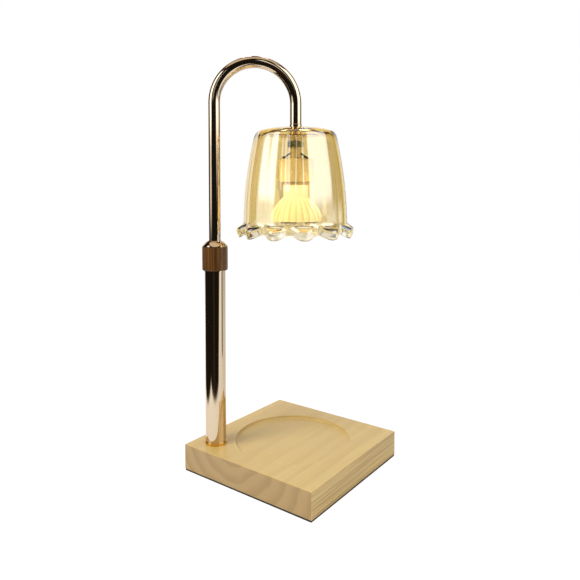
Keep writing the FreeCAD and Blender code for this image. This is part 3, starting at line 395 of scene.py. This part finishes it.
def pine_finish():
    """Planed pine: long grain on top and on two sides, end grain on the other two."""
    material, tree, shader = new_material("pine_satin")
    wood = use(
        tree, GROWTH_RINGS,
        Vector=place(tree, move=(-PITH.x, 0, -PITH.z)), Ring=PINE_RING, Waviness=1.1, Fibre=700.0,
    )
    geometry = add(tree, "ShaderNodeNewGeometry")
    facing = add(tree, "ShaderNodeSeparateXYZ", Vector=geometry.outputs["Normal"])
    spot = add(tree, "ShaderNodeSeparateXYZ", Vector=place(tree))

    def outer_face(axis):
        """1 on the two outer faces across an axis, 0 on the top and in the recess."""
        faces = ramp(tree, calculate(tree, "ABSOLUTE", facing.outputs[axis]), *SIDE_FACING)
        outside = ramp(tree, calculate(tree, "ABSOLUTE", spot.outputs[axis]), *SIDE_PLACE)
        return calculate(tree, "MULTIPLY", faces, outside)

    broad = noise(tree, place(tree, scale=BROAD_STEP), BROAD_SCALE, detail=2.0)
    streak = ramp(tree, wood["Fibre"], 0.35, 0.7)
    long_grain = blend(tree, ramp(tree, broad, 0.35, 0.7), PINE_MEAN, PINE_PALE)
    long_grain = tinge(tree, long_grain, wood["Ring"], 0.22, PINE_LATE)
    long_grain = tinge(tree, long_grain, streak, 0.3, PINE_LATE)
    lines = noise(tree, place(tree, scale=LINE_STEP), LINE_SCALE, detail=3.0, roughness=0.65)
    lines = calculate(tree, "MULTIPLY", ramp(tree, lines, *LINE_EDGE), outer_face(0))
    long_grain = tinge(tree, long_grain, lines, 0.75, PINE_LINE)
    end_grain = tinge(tree, PINE_END, wood["Ring"], 0.45, PINE_END_LATE)
    tint = blend(tree, outer_face(1), long_grain, end_grain)
    tint = tinge(tree, tint, wood["Pore"], 0.18, PINE_END_LATE)
    # Painted highlight: the pine is made paler along its sharp edges.
    painted_edge_highlight = use(tree, SHARP_EDGE_MASK, Width=PINE_HIGHLIGHT_WIDTH, Strength=1.6)["Mask"]
    tint = tinge(tree, tint, painted_edge_highlight, 0.5, PINE_PALE)
    touched = use(tree, HANDLING, Color=tint, Tone=0.06, Roughness=0.42, Smudge=0.15, Scale=30.0)
    put(shader["Base Color"], touched["Color"])
    put(shader["Roughness"], touched["Roughness"])
    shader["Coat Weight"].default_value = 0.15
    shader["Coat Roughness"].default_value = 0.3
    put(shader["Normal"], bump(tree, wood["Fibre"], 0.12, 0.08 * MM))
    return material


WALNUT_MEAN = colour(106, 70, 28)
WALNUT_DARK = colour(58, 32, 9)
WALNUT_PORE = colour(34, 18, 8)
WALNUT_RING = 4 * MM
UPRIGHT = (math.pi / 2, 0, 0)        # turns the trunk up


def walnut_finish():
    """Dark wood with its fibres along the post, under gloss lacquer."""
    material, tree, shader = new_material("walnut_lacquer")
    wood = use(
        tree, GROWTH_RINGS,
        Vector=place(tree, turn=UPRIGHT), Ring=WALNUT_RING, Waviness=2.5, Fibre=1100.0,
    )
    tint = blend(tree, ramp(tree, wood["Fibre"], 0.3, 0.7), WALNUT_MEAN, WALNUT_DARK)
    tint = tinge(tree, tint, wood["Ring"], 0.5, WALNUT_DARK)
    tint = tinge(tree, tint, wood["Pore"], 0.6, WALNUT_PORE)
    touched = use(tree, HANDLING, Color=tint, Tone=0.1, Roughness=0.38, Smudge=0.1, Scale=120.0)
    put(shader["Base Color"], touched["Color"])
    put(shader["Roughness"], touched["Roughness"])
    shader["Specular Tint"].default_value = (1.0, 0.8, 0.5, 1)
    shader["Coat Weight"].default_value = 0.35
    shader["Coat Roughness"].default_value = 0.16
    shader["Coat Tint"].default_value = (1.0, 0.86, 0.6, 1)
    put(shader["Normal"], bump(tree, wood["Fibre"], 0.15, 0.05 * MM))
    return material


def let_light_through(tree, shader, tint):
    """Lets lamp light through a glass, tinted by it. Gives the material's output."""
    glass = shader["Base Color"].node.outputs[0]
    surface = glass.links[0].to_socket
    path = add(tree, "ShaderNodeLightPath")
    clear = add(tree, "ShaderNodeBsdfTransparent", Color=tint)
    mix = add(tree, "ShaderNodeMixShader")
    put(mix.inputs[0], path.outputs["Is Shadow Ray"])
    put(mix.inputs[1], glass)
    put(mix.inputs[2], clear.outputs[0])
    put(surface, mix.outputs[0])
    return surface.node


AMBER_DEPTH = (0.97, 0.785, 0.055, 1)
AMBER_DENSITY = 166.0      # a 3 mm wall takes 38% of the blue
FILM_THICKNESS = 45.0      # nanometres
FILM_IOR = 2.0
AMBER_SHADOW = (1.0, 0.97, 0.86, 1)
AMBER_IOR = 1.45
# Painted shade: where the flat crown is seen edge on, the glass's colour turns dark copper in place
# of the dark reflection there.
CROWN_PAINTED_COPPER_SHADE = (0.30, 0.08, 0.015, 1)
CROWN_LEVEL = (0.9, 0.99)
CROWN_GRAZE = (0.72, 0.88)
HAZE = 0.05                # roughness in the hazy patches
RIPPLE_STEP = (1, 1, 0.12)
RIPPLE_DEPTH = 0.2 * MM


def amber_glass_finish():
    """Amber glass under a thin lustre film, with painted dark copper shade on the crown where it is
    seen edge on.
    """
    material, tree, shader = new_material("amber_lustre_glass")
    shader["Transmission Weight"].default_value = 1.0
    shader["IOR"].default_value = AMBER_IOR
    shader["Thin Film Thickness"].default_value = FILM_THICKNESS
    shader["Thin Film IOR"].default_value = FILM_IOR
    # Painted shade: level faces seen edge on, those of the crown, are tinted dark copper.
    geometry = add(tree, "ShaderNodeNewGeometry")
    facing = add(tree, "ShaderNodeSeparateXYZ", Vector=geometry.outputs["Normal"])
    level = ramp(tree, calculate(tree, "ABSOLUTE", facing.outputs[2]), *CROWN_LEVEL)
    graze = add(tree, "ShaderNodeLayerWeight", Blend=0.5).outputs["Facing"]
    painted_copper_shade = calculate(tree, "MULTIPLY", level, ramp(tree, graze, *CROWN_GRAZE))
    put(shader["Base Color"], blend(tree, painted_copper_shade, WHITE, CROWN_PAINTED_COPPER_SHADE))
    haze = noise(tree, place(tree), 90.0, detail=3.0)
    put(shader["Roughness"], ramp(tree, haze, 0.45, 0.8, 0.0, HAZE))
    ripple = noise(tree, place(tree, scale=RIPPLE_STEP), 120.0, detail=2.0)
    put(shader["Normal"], bump(tree, ripple, 0.05, RIPPLE_DEPTH))
    output = let_light_through(tree, shader, AMBER_SHADOW)
    depth = add(tree, "ShaderNodeVolumeAbsorption", Color=AMBER_DEPTH, Density=AMBER_DENSITY)
    put(output.inputs["Volume"], depth.outputs[0])
    return material


BELL_GLOW = colour(253, 247, 222)
BELL_AMBER = colour(252, 240, 204)
BELL_GROOVE_SHADE = colour(232, 204, 150)
BELL_RIBS = 24
BELL_LIP = 10 * MM         # plain, with no ribs
BELL_BLEND = 4 * MM
RIB_GROOVE = (-0.2, -0.95)
GROOVE_SHADE_SHARE = 0.55
GLOW_PATCHES = 0.9         # how unevenly the glow fills the bell


def bulb_glass_finish():
    """The reflector's ribbed glass, lit from inside, with painted shade in the grooves between its
    ribs.
    """
    material, tree, shader = new_material("reflector_glass")
    low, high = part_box("bulb_reflector")
    lip = high.z - BELL_LIP
    centred = place(tree, move=(-SHADE_AXIS.x, -SHADE_AXIS.y, 0))
    spot = add(tree, "ShaderNodeSeparateXYZ", Vector=centred)
    share = ramp(tree, spot.outputs[2], low.z, lip)
    patches = calculate(tree, "SUBTRACT", noise(tree, place(tree), 160.0, detail=2.0), 0.5)
    share = calculate(tree, "MULTIPLY_ADD", patches, GLOW_PATCHES, share, clamp=True)
    tint = blend(tree, share, BELL_AMBER, BELL_GLOW)
    # Painted shade: the glow is darkened in the grooves between the ribs.
    turn = calculate(tree, "ARCTAN2", spot.outputs[1], spot.outputs[0])
    ribs = calculate(tree, "COSINE", calculate(tree, "MULTIPLY", turn, BELL_RIBS))
    painted_groove_shade = ramp(tree, ribs, *RIB_GROOVE)
    on_bell = ramp(tree, spot.outputs[2], lip, lip - BELL_BLEND)
    painted_groove_shade = calculate(tree, "MULTIPLY", painted_groove_shade, on_bell)
    tint = tinge(tree, tint, painted_groove_shade, GROOVE_SHADE_SHARE, BELL_GROOVE_SHADE)
    put(shader["Base Color"], tint)
    put(shader["Emission Color"], tint)
    shader["Emission Strength"].default_value = 0.75
    shader["Roughness"].default_value = 0.18
    shader["Coat Weight"].default_value = 0.5
    return material


LENS_TINT = (0.98, 0.96, 0.9, 1)


def lens_glass_finish():
    """The bulb's dimpled front lens."""
    material, tree, shader = new_material("front_lens_glass")
    shader["Base Color"].default_value = LENS_TINT
    shader["Transmission Weight"].default_value = 1.0
    dimples = add(
        tree, "ShaderNodeTexVoronoi", {"feature": "SMOOTH_F1"}, Scale=420.0, Smoothness=0.6,
    )
    put(dimples.inputs["Vector"], place(tree))
    put(shader["Normal"], bump(tree, dimples.outputs["Distance"], 0.4, 0.4 * MM))
    shader["Roughness"].default_value = 0.12
    let_light_through(tree, shader, LENS_TINT)
    return material


def burner_finish():
    """The bulb's lit burner."""
    material, tree, shader = new_material("glowing_burner")
    flicker = noise(tree, place(tree), 300.0)
    tint = blend(tree, flicker, colour(255, 236, 170), colour(255, 214, 120))
    put(shader["Base Color"], tint)
    put(shader["Emission Color"], tint)
    shader["Emission Strength"].default_value = 3.0
    shader["Roughness"].default_value = 0.1
    return material


def ceramic_finish():
    """Cream ceramic with fired specks."""
    material, tree, shader = plain_finish(
        "cream_ceramic", colour(250, 236, 202), 0.5, tone=0.08, scale=90.0, grain=0.3,
    )
    specks = noise(tree, place(tree), 2600.0, detail=1.0)
    fired = shader["Base Color"].links[0].from_socket
    specks = ramp(tree, specks, 0.7, 0.8)
    put(shader["Base Color"], tinge(tree, fired, specks, 0.35, colour(150, 120, 80)))
    return material


def foam_finish():
    """Black foam with open cells."""
    material, tree, shader = plain_finish(
        "black_foam", colour(38, 34, 30), 0.9, tone=0.5, smudge=0.05, scale=200.0,
    )
    cells = add(tree, "ShaderNodeTexVoronoi", Scale=1800.0)
    put(cells.inputs["Vector"], place(tree))
    put(shader["Normal"], bump(tree, cells.outputs["Distance"], 0.6, 0.15 * MM))
    return material


FINISHES = {
    "pine": pine_finish(),
    "foam": foam_finish(),
    "gold": metal_finish(
        "champagne_gold", colour(217, 197, 169), 0.07, pale_edge=0.3, smudge=0.04, grain=0.02,
    ),
    "inner_gold": satin_finish(),
    # Partly a deeper gold, partly painted reflection: the ring is warmed to orange for the pine it
    # mirrors.
    "foot_gold": metal_finish("deep_gold_with_painted_wood_reflection", colour(228, 184, 98), 0.2, tone=0.12, pale_edge=0.3),
    "walnut": walnut_finish(),
    "steel": metal_finish(
        "zinc_plated_steel", colour(196, 198, 184), 0.28, tone=0.15, grain=0.2, pale_edge=0.5,
    ),
    "raw_brass": metal_finish(
        "plain_brass", colour(214, 178, 104), 0.22, tone=0.15, grain=0.15, pale_edge=0.4,
    ),
    "nylon": plain_finish("white_nylon", colour(232, 232, 224), 0.45)[0],
    "grommet": plain_finish("black_rubber", colour(34, 34, 34), 0.7, tone=0.3)[0],
    "lead_sheath": plain_finish(
        "black_sheath", colour(30, 29, 28), 0.42, tone=0.3, scale=140.0,
    )[0],
    "gasket": plain_finish("brown_rubber", colour(92, 44, 18), 0.5)[0],
    "amber_glass": amber_glass_finish(),
    "ceramic": ceramic_finish(),
    "bulb_glass": bulb_glass_finish(),
    "lens_glass": lens_glass_finish(),
    "burner": burner_finish(),
}
SLOT_NODES = {
    "pine": ["wood_base"],
    "foam": ["base_pad"],
    "gold": ["post_tube", "collar_nut", "gooseneck", "shade_ferrule"],
    "inner_gold": ["shade_nut", "holder_stem"],
    "foot_gold": ["foot_ring"],
    "walnut": ["collar_grip"],
    "steel": [
        "base_nipple", "base_washer", "base_nut", "foot_insert", "stop_rings", "shade_rod",
        "lock_washer", "lock_nut", "holder_rivets", "bulb_pins",
    ],
    "raw_brass": ["collet", "leg_insert", "holder_contacts", "terminal_screws"],
    "nylon": ["guide_bush"],
    "grommet": ["lead_grommet"],
    "lead_sheath": ["base_lead", "post_lead", "neck_lead", "holder_wires"],
    "gasket": ["shade_gaskets"],
    "amber_glass": ["glass_shade"],
    "ceramic": ["holder_cover", "holder_body", "bulb_base"],
    "bulb_glass": ["bulb_reflector"],
    "lens_glass": ["bulb_lens"],
    "burner": ["bulb_capsule"],
}


def finish_nodes():
    """Gives every node of the frame its finish."""
    for slot, nodes in SLOT_NODES.items():
        for node in nodes:
            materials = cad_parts[node].data.materials
            materials.clear()
            materials.append(FINISHES[slot])


# ---------------------------------------------------------------- modelling by operators
def start_piece(name):
    """Names the primitive just added and opens it for editing, all selected."""
    piece = bpy.context.object
    piece.name = name
    piece.data.name = name
    bpy.ops.object.mode_set(mode="EDIT")
    return piece


def pick(piece, chosen):
    """Selects the vertices for which chosen(place) is true."""
    mesh = bmesh.from_edit_mesh(piece.data)
    bpy.ops.mesh.select_all(action="DESELECT")
    matrix = piece.matrix_world
    for vertex in mesh.verts:
        vertex.select = chosen(matrix @ vertex.co)
    mesh.select_flush_mode()
    bmesh.update_edit_mesh(piece.data)


def close_piece(piece, finish, body, slot, *nodes):
    """Ends editing, applies place and modifiers, and gives the piece its finish and body. The slot
    is not used.
    """
    bpy.ops.object.mode_set(mode="OBJECT")
    bpy.ops.object.select_all(action="DESELECT")
    piece.select_set(True)
    bpy.context.view_layer.objects.active = piece
    bpy.ops.object.transform_apply(location=True, rotation=True, scale=True)
    for modifier in list(piece.modifiers):
        bpy.ops.object.modifier_apply(modifier=modifier.name)
    bpy.ops.object.shade_smooth()
    piece.data.materials.clear()
    piece.data.materials.append(finish)
    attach(piece, body)
    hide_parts(*nodes)


# ---------------------------------------------------------------- glass shade
LOBE_COUNT = 12
CAGE_PER_LOBE = 8          # vertices of the cage in each lobe
SHADE_HOLE = 4.6 * MM
GLASS_WALL = 3.0 * MM
SHOULDER_WALL = 4.5 * MM   # the glass is thicker where it rounds over
RIM_WALL = 1.8 * MM
CROWN_RADII = (SHADE_HOLE, 12 * MM, 20 * MM, 28 * MM)
CROWN_TURN = ((0.3, 0.0), (0.87, 0.25))      # share of the way out, then down, to the shoulder
SHOULDER_RADIUS = 41.4 * MM
SHOULDER_DROP = 10.0 * MM
MOUTH_RADIUS = 50.95 * MM
BODY_HEIGHT = 78.0 * MM
BARREL_POWER = 1.8
BODY_RINGS = 6
FLUTE = 0.45 * MM
RUFFLE_FLARE = 3.7 * MM
RUFFLE_DROP = 15.6 * MM
RUFFLE_TURNS = ((0.12, 0.0), (0.24, 0.2), (0.34, 0.8), (0.5, 1.15), (0.74, 0.95), (0.9, 0.7))
RIM_ROUND = 0.9 * MM
LOBE_OUT = 3.9 * MM
LOBE_DROP = 2.9 * MM
LOBE_BREADTH = 0.14        # how much broader the lobes are than the folds between them


def outside_profile(swing):
    """Radius and height, from the hole to the rim, where the ruffle swings out (1) or in (-1)."""
    ridge = FLUTE * swing
    profile = [(radius, 0.0) for radius in CROWN_RADII]
    over = SHOULDER_RADIUS - CROWN_RADII[-1]
    for out, down in CROWN_TURN:
        profile.append((CROWN_RADII[-1] + over * out + 2 * ridge * down, -SHOULDER_DROP * down))
    for k in range(BODY_RINGS):
        share = k / (BODY_RINGS - 1)
        swell = 1 - (1 - share) ** BARREL_POWER
        radius = SHOULDER_RADIUS + (MOUTH_RADIUS - SHOULDER_RADIUS) * swell
        profile.append((radius + ridge, -SHOULDER_DROP - BODY_HEIGHT * share))
    flare = RUFFLE_FLARE + LOBE_OUT * swing - ridge
    fall = RUFFLE_DROP + LOBE_DROP * swing
    for down, out in RUFFLE_TURNS:
        height = -SHOULDER_DROP - BODY_HEIGHT - fall * down
        profile.append((MOUTH_RADIUS + ridge + flare * out, height))
    return profile


def wall_profile(swing):
    """The outside, then round the rim and back up the inside."""
    outside = outside_profile(swing)
    walls = [GLASS_WALL] * len(CROWN_RADII) + [SHOULDER_WALL] * len(CROWN_TURN)
    walls += [GLASS_WALL] * BODY_RINGS
    walls += [GLASS_WALL + (RIM_WALL - GLASS_WALL) * down for down, _ in RUFFLE_TURNS]
    inside = []
    for k, wall in enumerate(walls):
        last = outside[max(k - 1, 0)]
        following = outside[min(k + 1, len(outside) - 1)]
        along = (Vector(following) - Vector(last)).normalized()
        inside.append((outside[k][0] + wall * along.y, outside[k][1] - wall * along.x))
    turning = len(CROWN_RADII)
    inside[turning] = (inside[turning][0], -GLASS_WALL)      # level under the crown
    rim = [(radius, height - RIM_ROUND) for radius, height in (outside[-1], inside[-1])]
    return outside + rim + inside[::-1]


def shape_ring(piece, ring):
    """Moves the selected ring's vertices to their places on the profile."""
    mesh = bmesh.from_edit_mesh(piece.data)
    for vertex in mesh.verts:
        if vertex.select:
            turn = math.atan2(vertex.co.y, vertex.co.x) * LOBE_COUNT
            swing = math.cos(turn) - LOBE_BREADTH * math.cos(2 * turn)
            radius, height = wall_profile(swing)[ring]
            vertex.co.xy *= radius / vertex.co.xy.length
            vertex.co.z = height
    bmesh.update_edit_mesh(piece.data)


def glass_shade():
    """Drawn from the hole down to the ruffled rim and back up the inside, ring by ring."""
    arm_turn = math.atan2(SHADE_AXIS.y - POST_AXIS.y, SHADE_AXIS.x - POST_AXIS.x)
    bpy.ops.mesh.primitive_circle_add(
        vertices=LOBE_COUNT * CAGE_PER_LOBE, radius=SHADE_HOLE,
        location=(*SHADE_AXIS, SHADE_TOP), rotation=(0, 0, arm_turn),
    )
    piece = start_piece("shade_glass")
    profile = wall_profile(0)
    for ring in range(1, len(profile)):
        drop = profile[ring][1] - profile[ring - 1][1]
        bpy.ops.mesh.extrude_region_move(TRANSFORM_OT_translate={"value": (0, 0, drop)})
        shape_ring(piece, ring)
    reach = 1.1 * SHADE_HOLE      # takes in the first ring and the last
    pick(piece, lambda spot: (spot.xy - SHADE_AXIS).length < reach)
    bpy.ops.mesh.bridge_edge_loops()
    bpy.ops.mesh.select_all(action="SELECT")
    bpy.ops.mesh.normals_make_consistent(inside=False)
    return piece


# ---------------------------------------------------------------- studio
FLOOR_SIZE = 6.0
FLOOR_TINT = colour(250, 250, 250)


def make_card():
    """A mask for one patch of the surroundings, seen from the lamp. Degrees."""
    tree, given, gives = new_group(
        "studio_card",
        [
            ("Turn", "NodeSocketFloat", 0.0),
            ("Rise", "NodeSocketFloat", 0.0),
            ("Left", "NodeSocketFloat", -30.0),
            ("Left Lean", "NodeSocketFloat", 0.0),
            ("Right", "NodeSocketFloat", 30.0),
            ("Right Lean", "NodeSocketFloat", 0.0),
            ("Low", "NodeSocketFloat", -10.0),
            ("High", "NodeSocketFloat", 40.0),
            ("Softness", "NodeSocketFloat", 4.0),
        ],
        [("Mask", "NodeSocketFloat")],
    )
    left = calculate(tree, "MULTIPLY_ADD", given["Rise"], given["Left Lean"], given["Left"])
    right = calculate(tree, "MULTIPLY_ADD", given["Rise"], given["Right Lean"], given["Right"])
    mask = None
    for value, edge, sign in (
        ("Turn", left, 1), ("Turn", right, -1),
        ("Rise", given["Low"], 1), ("Rise", given["High"], -1),
    ):
        inside = calculate(tree, "SUBTRACT", given[value], edge)
        inside = calculate(tree, "MULTIPLY", inside, sign)
        scaled = calculate(tree, "DIVIDE", inside, given["Softness"])
        side = ramp(tree, scaled, -0.5, 0.5)
        mask = side if mask is None else calculate(tree, "MULTIPLY", mask, side)
    put(gives["Mask"], mask)
    return tree


def grey(strength):
    return (strength, strength, strength, 1)


ROOM_DARK = (0.012, 0.010, 0.008, 1)
COPPER_DARK = (0.10, 0.02, 0.004, 1)
FLOOR_DIM = (0.16, 0.10, 0.05, 1)
STAND_BROWN = (0.04, 0.022, 0.015, 1)
SLIT_DARK = (0.05, 0.04, 0.03, 1)
CEILING = (0.85, 0.72, 0.56, 1)
SPARKLE = (6.5, 6.8, 8.5, 1)
# What gloss sees around the lamp, each card over the ones before it: its left and right edges with
# their leans, low and high edges, softness, and colour with strength. Degrees; the turn is counted
# from the camera, to the right. A lean is how far an edge moves for each degree of rise.
CARDS = (
    (-135, 0, 132, 0, -90, 70, 8, ROOM_DARK),
    # soft boxes on the left and the right with dimmer rims, and a dark slit under the right one
    (-89, 0, -53, 0, -3, 50, 6, grey(1.05)),
    (-81, 0, -51, 0, 6, 50, 5, grey(2.8)),
    (64, 1.2, 112, 0, -40, 2, 6, grey(1.15)),
    (42, 0, 97, 0, 2, 50, 8, grey(0.95)),
    (42, 0, 92, 0.3, 6, 50, 6, grey(2.2)),
    (83, 0, 91, 0, -26, -3, 2, SLIT_DARK),
    # narrow lights near the camera, and its stand below it
    (-28, 0, -24, 0, 11, 34, 2, grey(1.3)),
    (-14, 0, -11, 0, 11, 34, 2, grey(1.3)),
    (15, 0, 20, 0, 11, 34, 2, grey(1.3)),
    (-16, 0, 1, 0, -28, -6, 5, STAND_BROWN),
    # the far floor behind the lamp, then the ceiling in front of it
    (-181, 0, -135, 0, -90, -5.3, 1.5, FLOOR_DIM),
    (132, 0, 181, 0, -90, -5.3, 1.5, FLOOR_DIM),
    (-134, 0, 134, 0, 58, 99, 8, CEILING),
    # dark upper corners behind the lamp, with a sparkle in each
    (-181, 0, -134, 0, 43, 99, 4, COPPER_DARK),
    (134, 0, 181, 0, 43, 99, 4, COPPER_DARK),
    (-153, 0, -134, 0, 27, 48, 4, COPPER_DARK),
    (134, 0, 153, 0, 27, 48, 4, COPPER_DARK),
    (-174, 0, -158, 0, 54, 60, 2, SPARKLE),
    (158, 0, 174, 0, 53, 59, 2, SPARKLE),
)
SOFT_LIGHT = 0.56          # of the surroundings, on matt surfaces
BEHIND = (128, 134)        # the turn past which glass shows the cards behind it


def bounced(tree, path):
    """1 for what gloss mirrors and what is seen through glass."""
    glossy = path.outputs["Is Glossy Ray"]
    return calculate(tree, "MAXIMUM", glossy, path.outputs["Is Transmission Ray"])


def make_studio():
    """White all around, with a dark room and soft boxes that only gloss and glass show."""
    world = bpy.data.worlds.new("studio")
    bpy.context.scene.world = world
    world.use_nodes = True
    tree = world.node_tree
    tree.nodes.clear()
    direction = add(tree, "ShaderNodeTexCoord").outputs["Generated"]
    right = dot(tree, direction, CAMERA_RIGHT)
    toward = dot(tree, direction, TOWARDS_CAMERA)
    turn = calculate(tree, "ARCTAN2", right, toward)
    turn = calculate(tree, "MULTIPLY", turn, math.degrees(1))
    rise = calculate(tree, "ARCSINE", dot(tree, direction, (0, 0, 1)))
    rise = calculate(tree, "MULTIPLY", rise, math.degrees(1))
    card = make_card()
    seen = WHITE
    for left, left_lean, right, right_lean, low, high, softness, tint in CARDS:
        mask = use(
            tree, card, Turn=turn, Rise=rise, Left=left, Left_Lean=left_lean, Right=right,
            Right_Lean=right_lean, Low=low, High=high, Softness=softness,
        )["Mask"]
        seen = blend(tree, mask, seen, tint)
    path = add(tree, "ShaderNodeLightPath")
    behind = ramp(tree, calculate(tree, "ABSOLUTE", turn), *BEHIND)
    mirrored = calculate(tree, "GREATER_THAN", path.outputs["Glossy Depth"], 0.5)
    seen = blend(tree, calculate(tree, "MAXIMUM", behind, mirrored), WHITE, seen)
    gloss = add(tree, "ShaderNodeBackground", Color=seen, Strength=1.0)
    white = add(tree, "ShaderNodeBackground", Color=WHITE, Strength=1.0)
    soft = add(tree, "ShaderNodeBackground", Color=WHITE, Strength=SOFT_LIGHT)
    first = add(tree, "ShaderNodeMixShader")
    unspread = calculate(tree, "LESS_THAN", path.outputs["Diffuse Depth"], 0.5)
    put(first.inputs[0], calculate(tree, "MULTIPLY", bounced(tree, path), unspread))
    put(first.inputs[1], soft.outputs[0])
    put(first.inputs[2], gloss.outputs[0])
    second = add(tree, "ShaderNodeMixShader")
    put(second.inputs[0], path.outputs["Is Camera Ray"])
    put(second.inputs[1], first.outputs[0])
    put(second.inputs[2], white.outputs[0])
    output = add(tree, "ShaderNodeOutputWorld")
    put(output.inputs["Surface"], second.outputs[0])


PAPER_FRONT = 0.20         # how far from the post gloss sees the paper end
PAPER_LEFT = 0.19
PAPER_BACK = 1.5
PAPER_EDGE = 0.02          # how softly it ends
LEFT_END = (-136, -132)    # the left edge stops at this turn
SLIT_LEFT = (82, 84)       # a dark slit on the right, from 0.4 m away
SLIT_RIGHT = (92, 90)
SLIT_START = (0.38, 0.42)
PAPER_SHINE = 1.09
PAPER_SHINE_SHARE = 0.85   # the rest is lit paper, which keeps the shadow


def add_floor():
    """White paper. Gloss sees it end around the lamp."""
    bpy.ops.object.select_all(action="DESELECT")
    bpy.ops.mesh.primitive_grid_add(x_subdivisions=8, y_subdivisions=8, size=FLOOR_SIZE)
    floor = bpy.context.object
    floor.name = "floor"
    material = bpy.data.materials.new("white_paper")
    material.use_nodes = True
    tree = material.node_tree
    tree.nodes.clear()
    output = tree.nodes.new("ShaderNodeOutputMaterial")
    path = add(tree, "ShaderNodeLightPath")
    paper = add(tree, "ShaderNodeBsdfDiffuse", Color=FLOOR_TINT)
    shine = add(tree, "ShaderNodeEmission", Color=WHITE, Strength=PAPER_SHINE)
    gone = add(tree, "ShaderNodeBsdfTransparent")
    bright = add(tree, "ShaderNodeMixShader")
    camera = path.outputs["Is Camera Ray"]
    clear = calculate(tree, "MAXIMUM", camera, path.outputs["Is Transmission Ray"])
    put(bright.inputs[0], calculate(tree, "MULTIPLY", clear, PAPER_SHINE_SHARE))
    put(bright.inputs[1], paper.outputs[0])
    put(bright.inputs[2], shine.outputs[0])
    spot = place(tree, move=(-POST_AXIS.x, -POST_AXIS.y, 0))
    toward = dot(tree, spot, TOWARDS_CAMERA)
    right = dot(tree, spot, CAMERA_RIGHT)
    turn = calculate(tree, "ARCTAN2", right, toward)
    turn = calculate(tree, "MULTIPLY", turn, math.degrees(1))

    def past(distance, limit, way):
        """1 further out than a limit, the way that the sign gives."""
        return ramp(tree, distance, way * (limit - PAPER_EDGE), way * (limit + PAPER_EDGE))

    left = calculate(tree, "MULTIPLY", past(right, PAPER_LEFT, -1), ramp(tree, turn, *LEFT_END))
    slit = calculate(
        tree, "MULTIPLY", ramp(tree, turn, *SLIT_LEFT), ramp(tree, turn, *SLIT_RIGHT),
    )
    slit = calculate(tree, "MULTIPLY", slit, ramp(tree, right, *SLIT_START))
    beyond = past(toward, PAPER_FRONT, 1)
    for end in (left, past(toward, PAPER_BACK, -1), slit):
        beyond = calculate(tree, "MAXIMUM", beyond, end)
    ends = add(tree, "ShaderNodeMixShader")
    put(ends.inputs[0], calculate(tree, "MULTIPLY", beyond, bounced(tree, path)))
    put(ends.inputs[1], bright.outputs[0])
    put(ends.inputs[2], gone.outputs[0])
    put(output.inputs["Surface"], ends.outputs[0])
    floor.data.materials.append(material)


def hang_lamp(name, light, spot):
    """Puts a light in the scene, hidden from gloss, glass and camera."""
    lamp = bpy.data.objects.new(name, light)
    bpy.context.scene.collection.objects.link(lamp)
    lamp.location = spot
    lamp.visible_glossy = False
    lamp.visible_transmission = False
    lamp.visible_camera = False
    return lamp


LAMP_TARGET = Vector((0, 0, 0.1))
GLOW_SIZE = 6 * MM
GLOW_TINT = (1.0, 0.86, 0.62)
GLOW_RISE = 4 * MM         # above the lower end of the lamp holder


def add_lamp(name, turn, rise, distance, size, power):
    """A soft lamp aimed at the object. The turn is counted from the camera, to the right."""
    light = bpy.data.lights.new(name, "AREA")
    light.size = size
    light.energy = power
    side = math.radians(turn)
    up = math.radians(rise)
    flat = TOWARDS_CAMERA * math.cos(side) + CAMERA_RIGHT * math.sin(side)
    away = flat * math.cos(up) + Vector((0, 0, math.sin(up)))
    lamp = hang_lamp(name, light, LAMP_TARGET + away * distance)
    lamp.rotation_euler = (-away).to_track_quat("-Z", "Y").to_euler()


def add_glow(name, right, toward, power):
    """A small warm lamp beside the lamp holder, for the bulb's light that the shade throws back."""
    light = bpy.data.lights.new(name, "POINT")
    light.shadow_soft_size = GLOW_SIZE
    light.energy = power
    light.color = GLOW_TINT
    flat = SHADE_AXIS.to_3d() + CAMERA_RIGHT * right + TOWARDS_CAMERA * toward
    hang_lamp(name, light, (flat.x, flat.y, bottom("holder_body") + GLOW_RISE))


# ---------------------------------------------------------------- the scene
bpy.context.scene.view_settings.view_transform = "Standard"
add_camera()
make_studio()
add_floor()
add_lamp("key", turn=-56, rise=48, distance=1.6, size=0.6, power=16)
add_lamp("fill", turn=4, rise=32, distance=1.6, size=0.8, power=5)
add_glow("glow_left", right=-24 * MM, toward=22 * MM, power=0.009)
add_glow("glow_right", right=22 * MM, toward=24 * MM, power=0.009)
finish_nodes()

bpy.ops.object.select_all(action="DESELECT")
shade = glass_shade()
smooth = shade.modifiers.new("smooth", "SUBSURF")
smooth.levels = 2
smooth.render_levels = 2
close_piece(shade, FINISHES["amber_glass"], "arm", "amber_glass", "glass_shade")
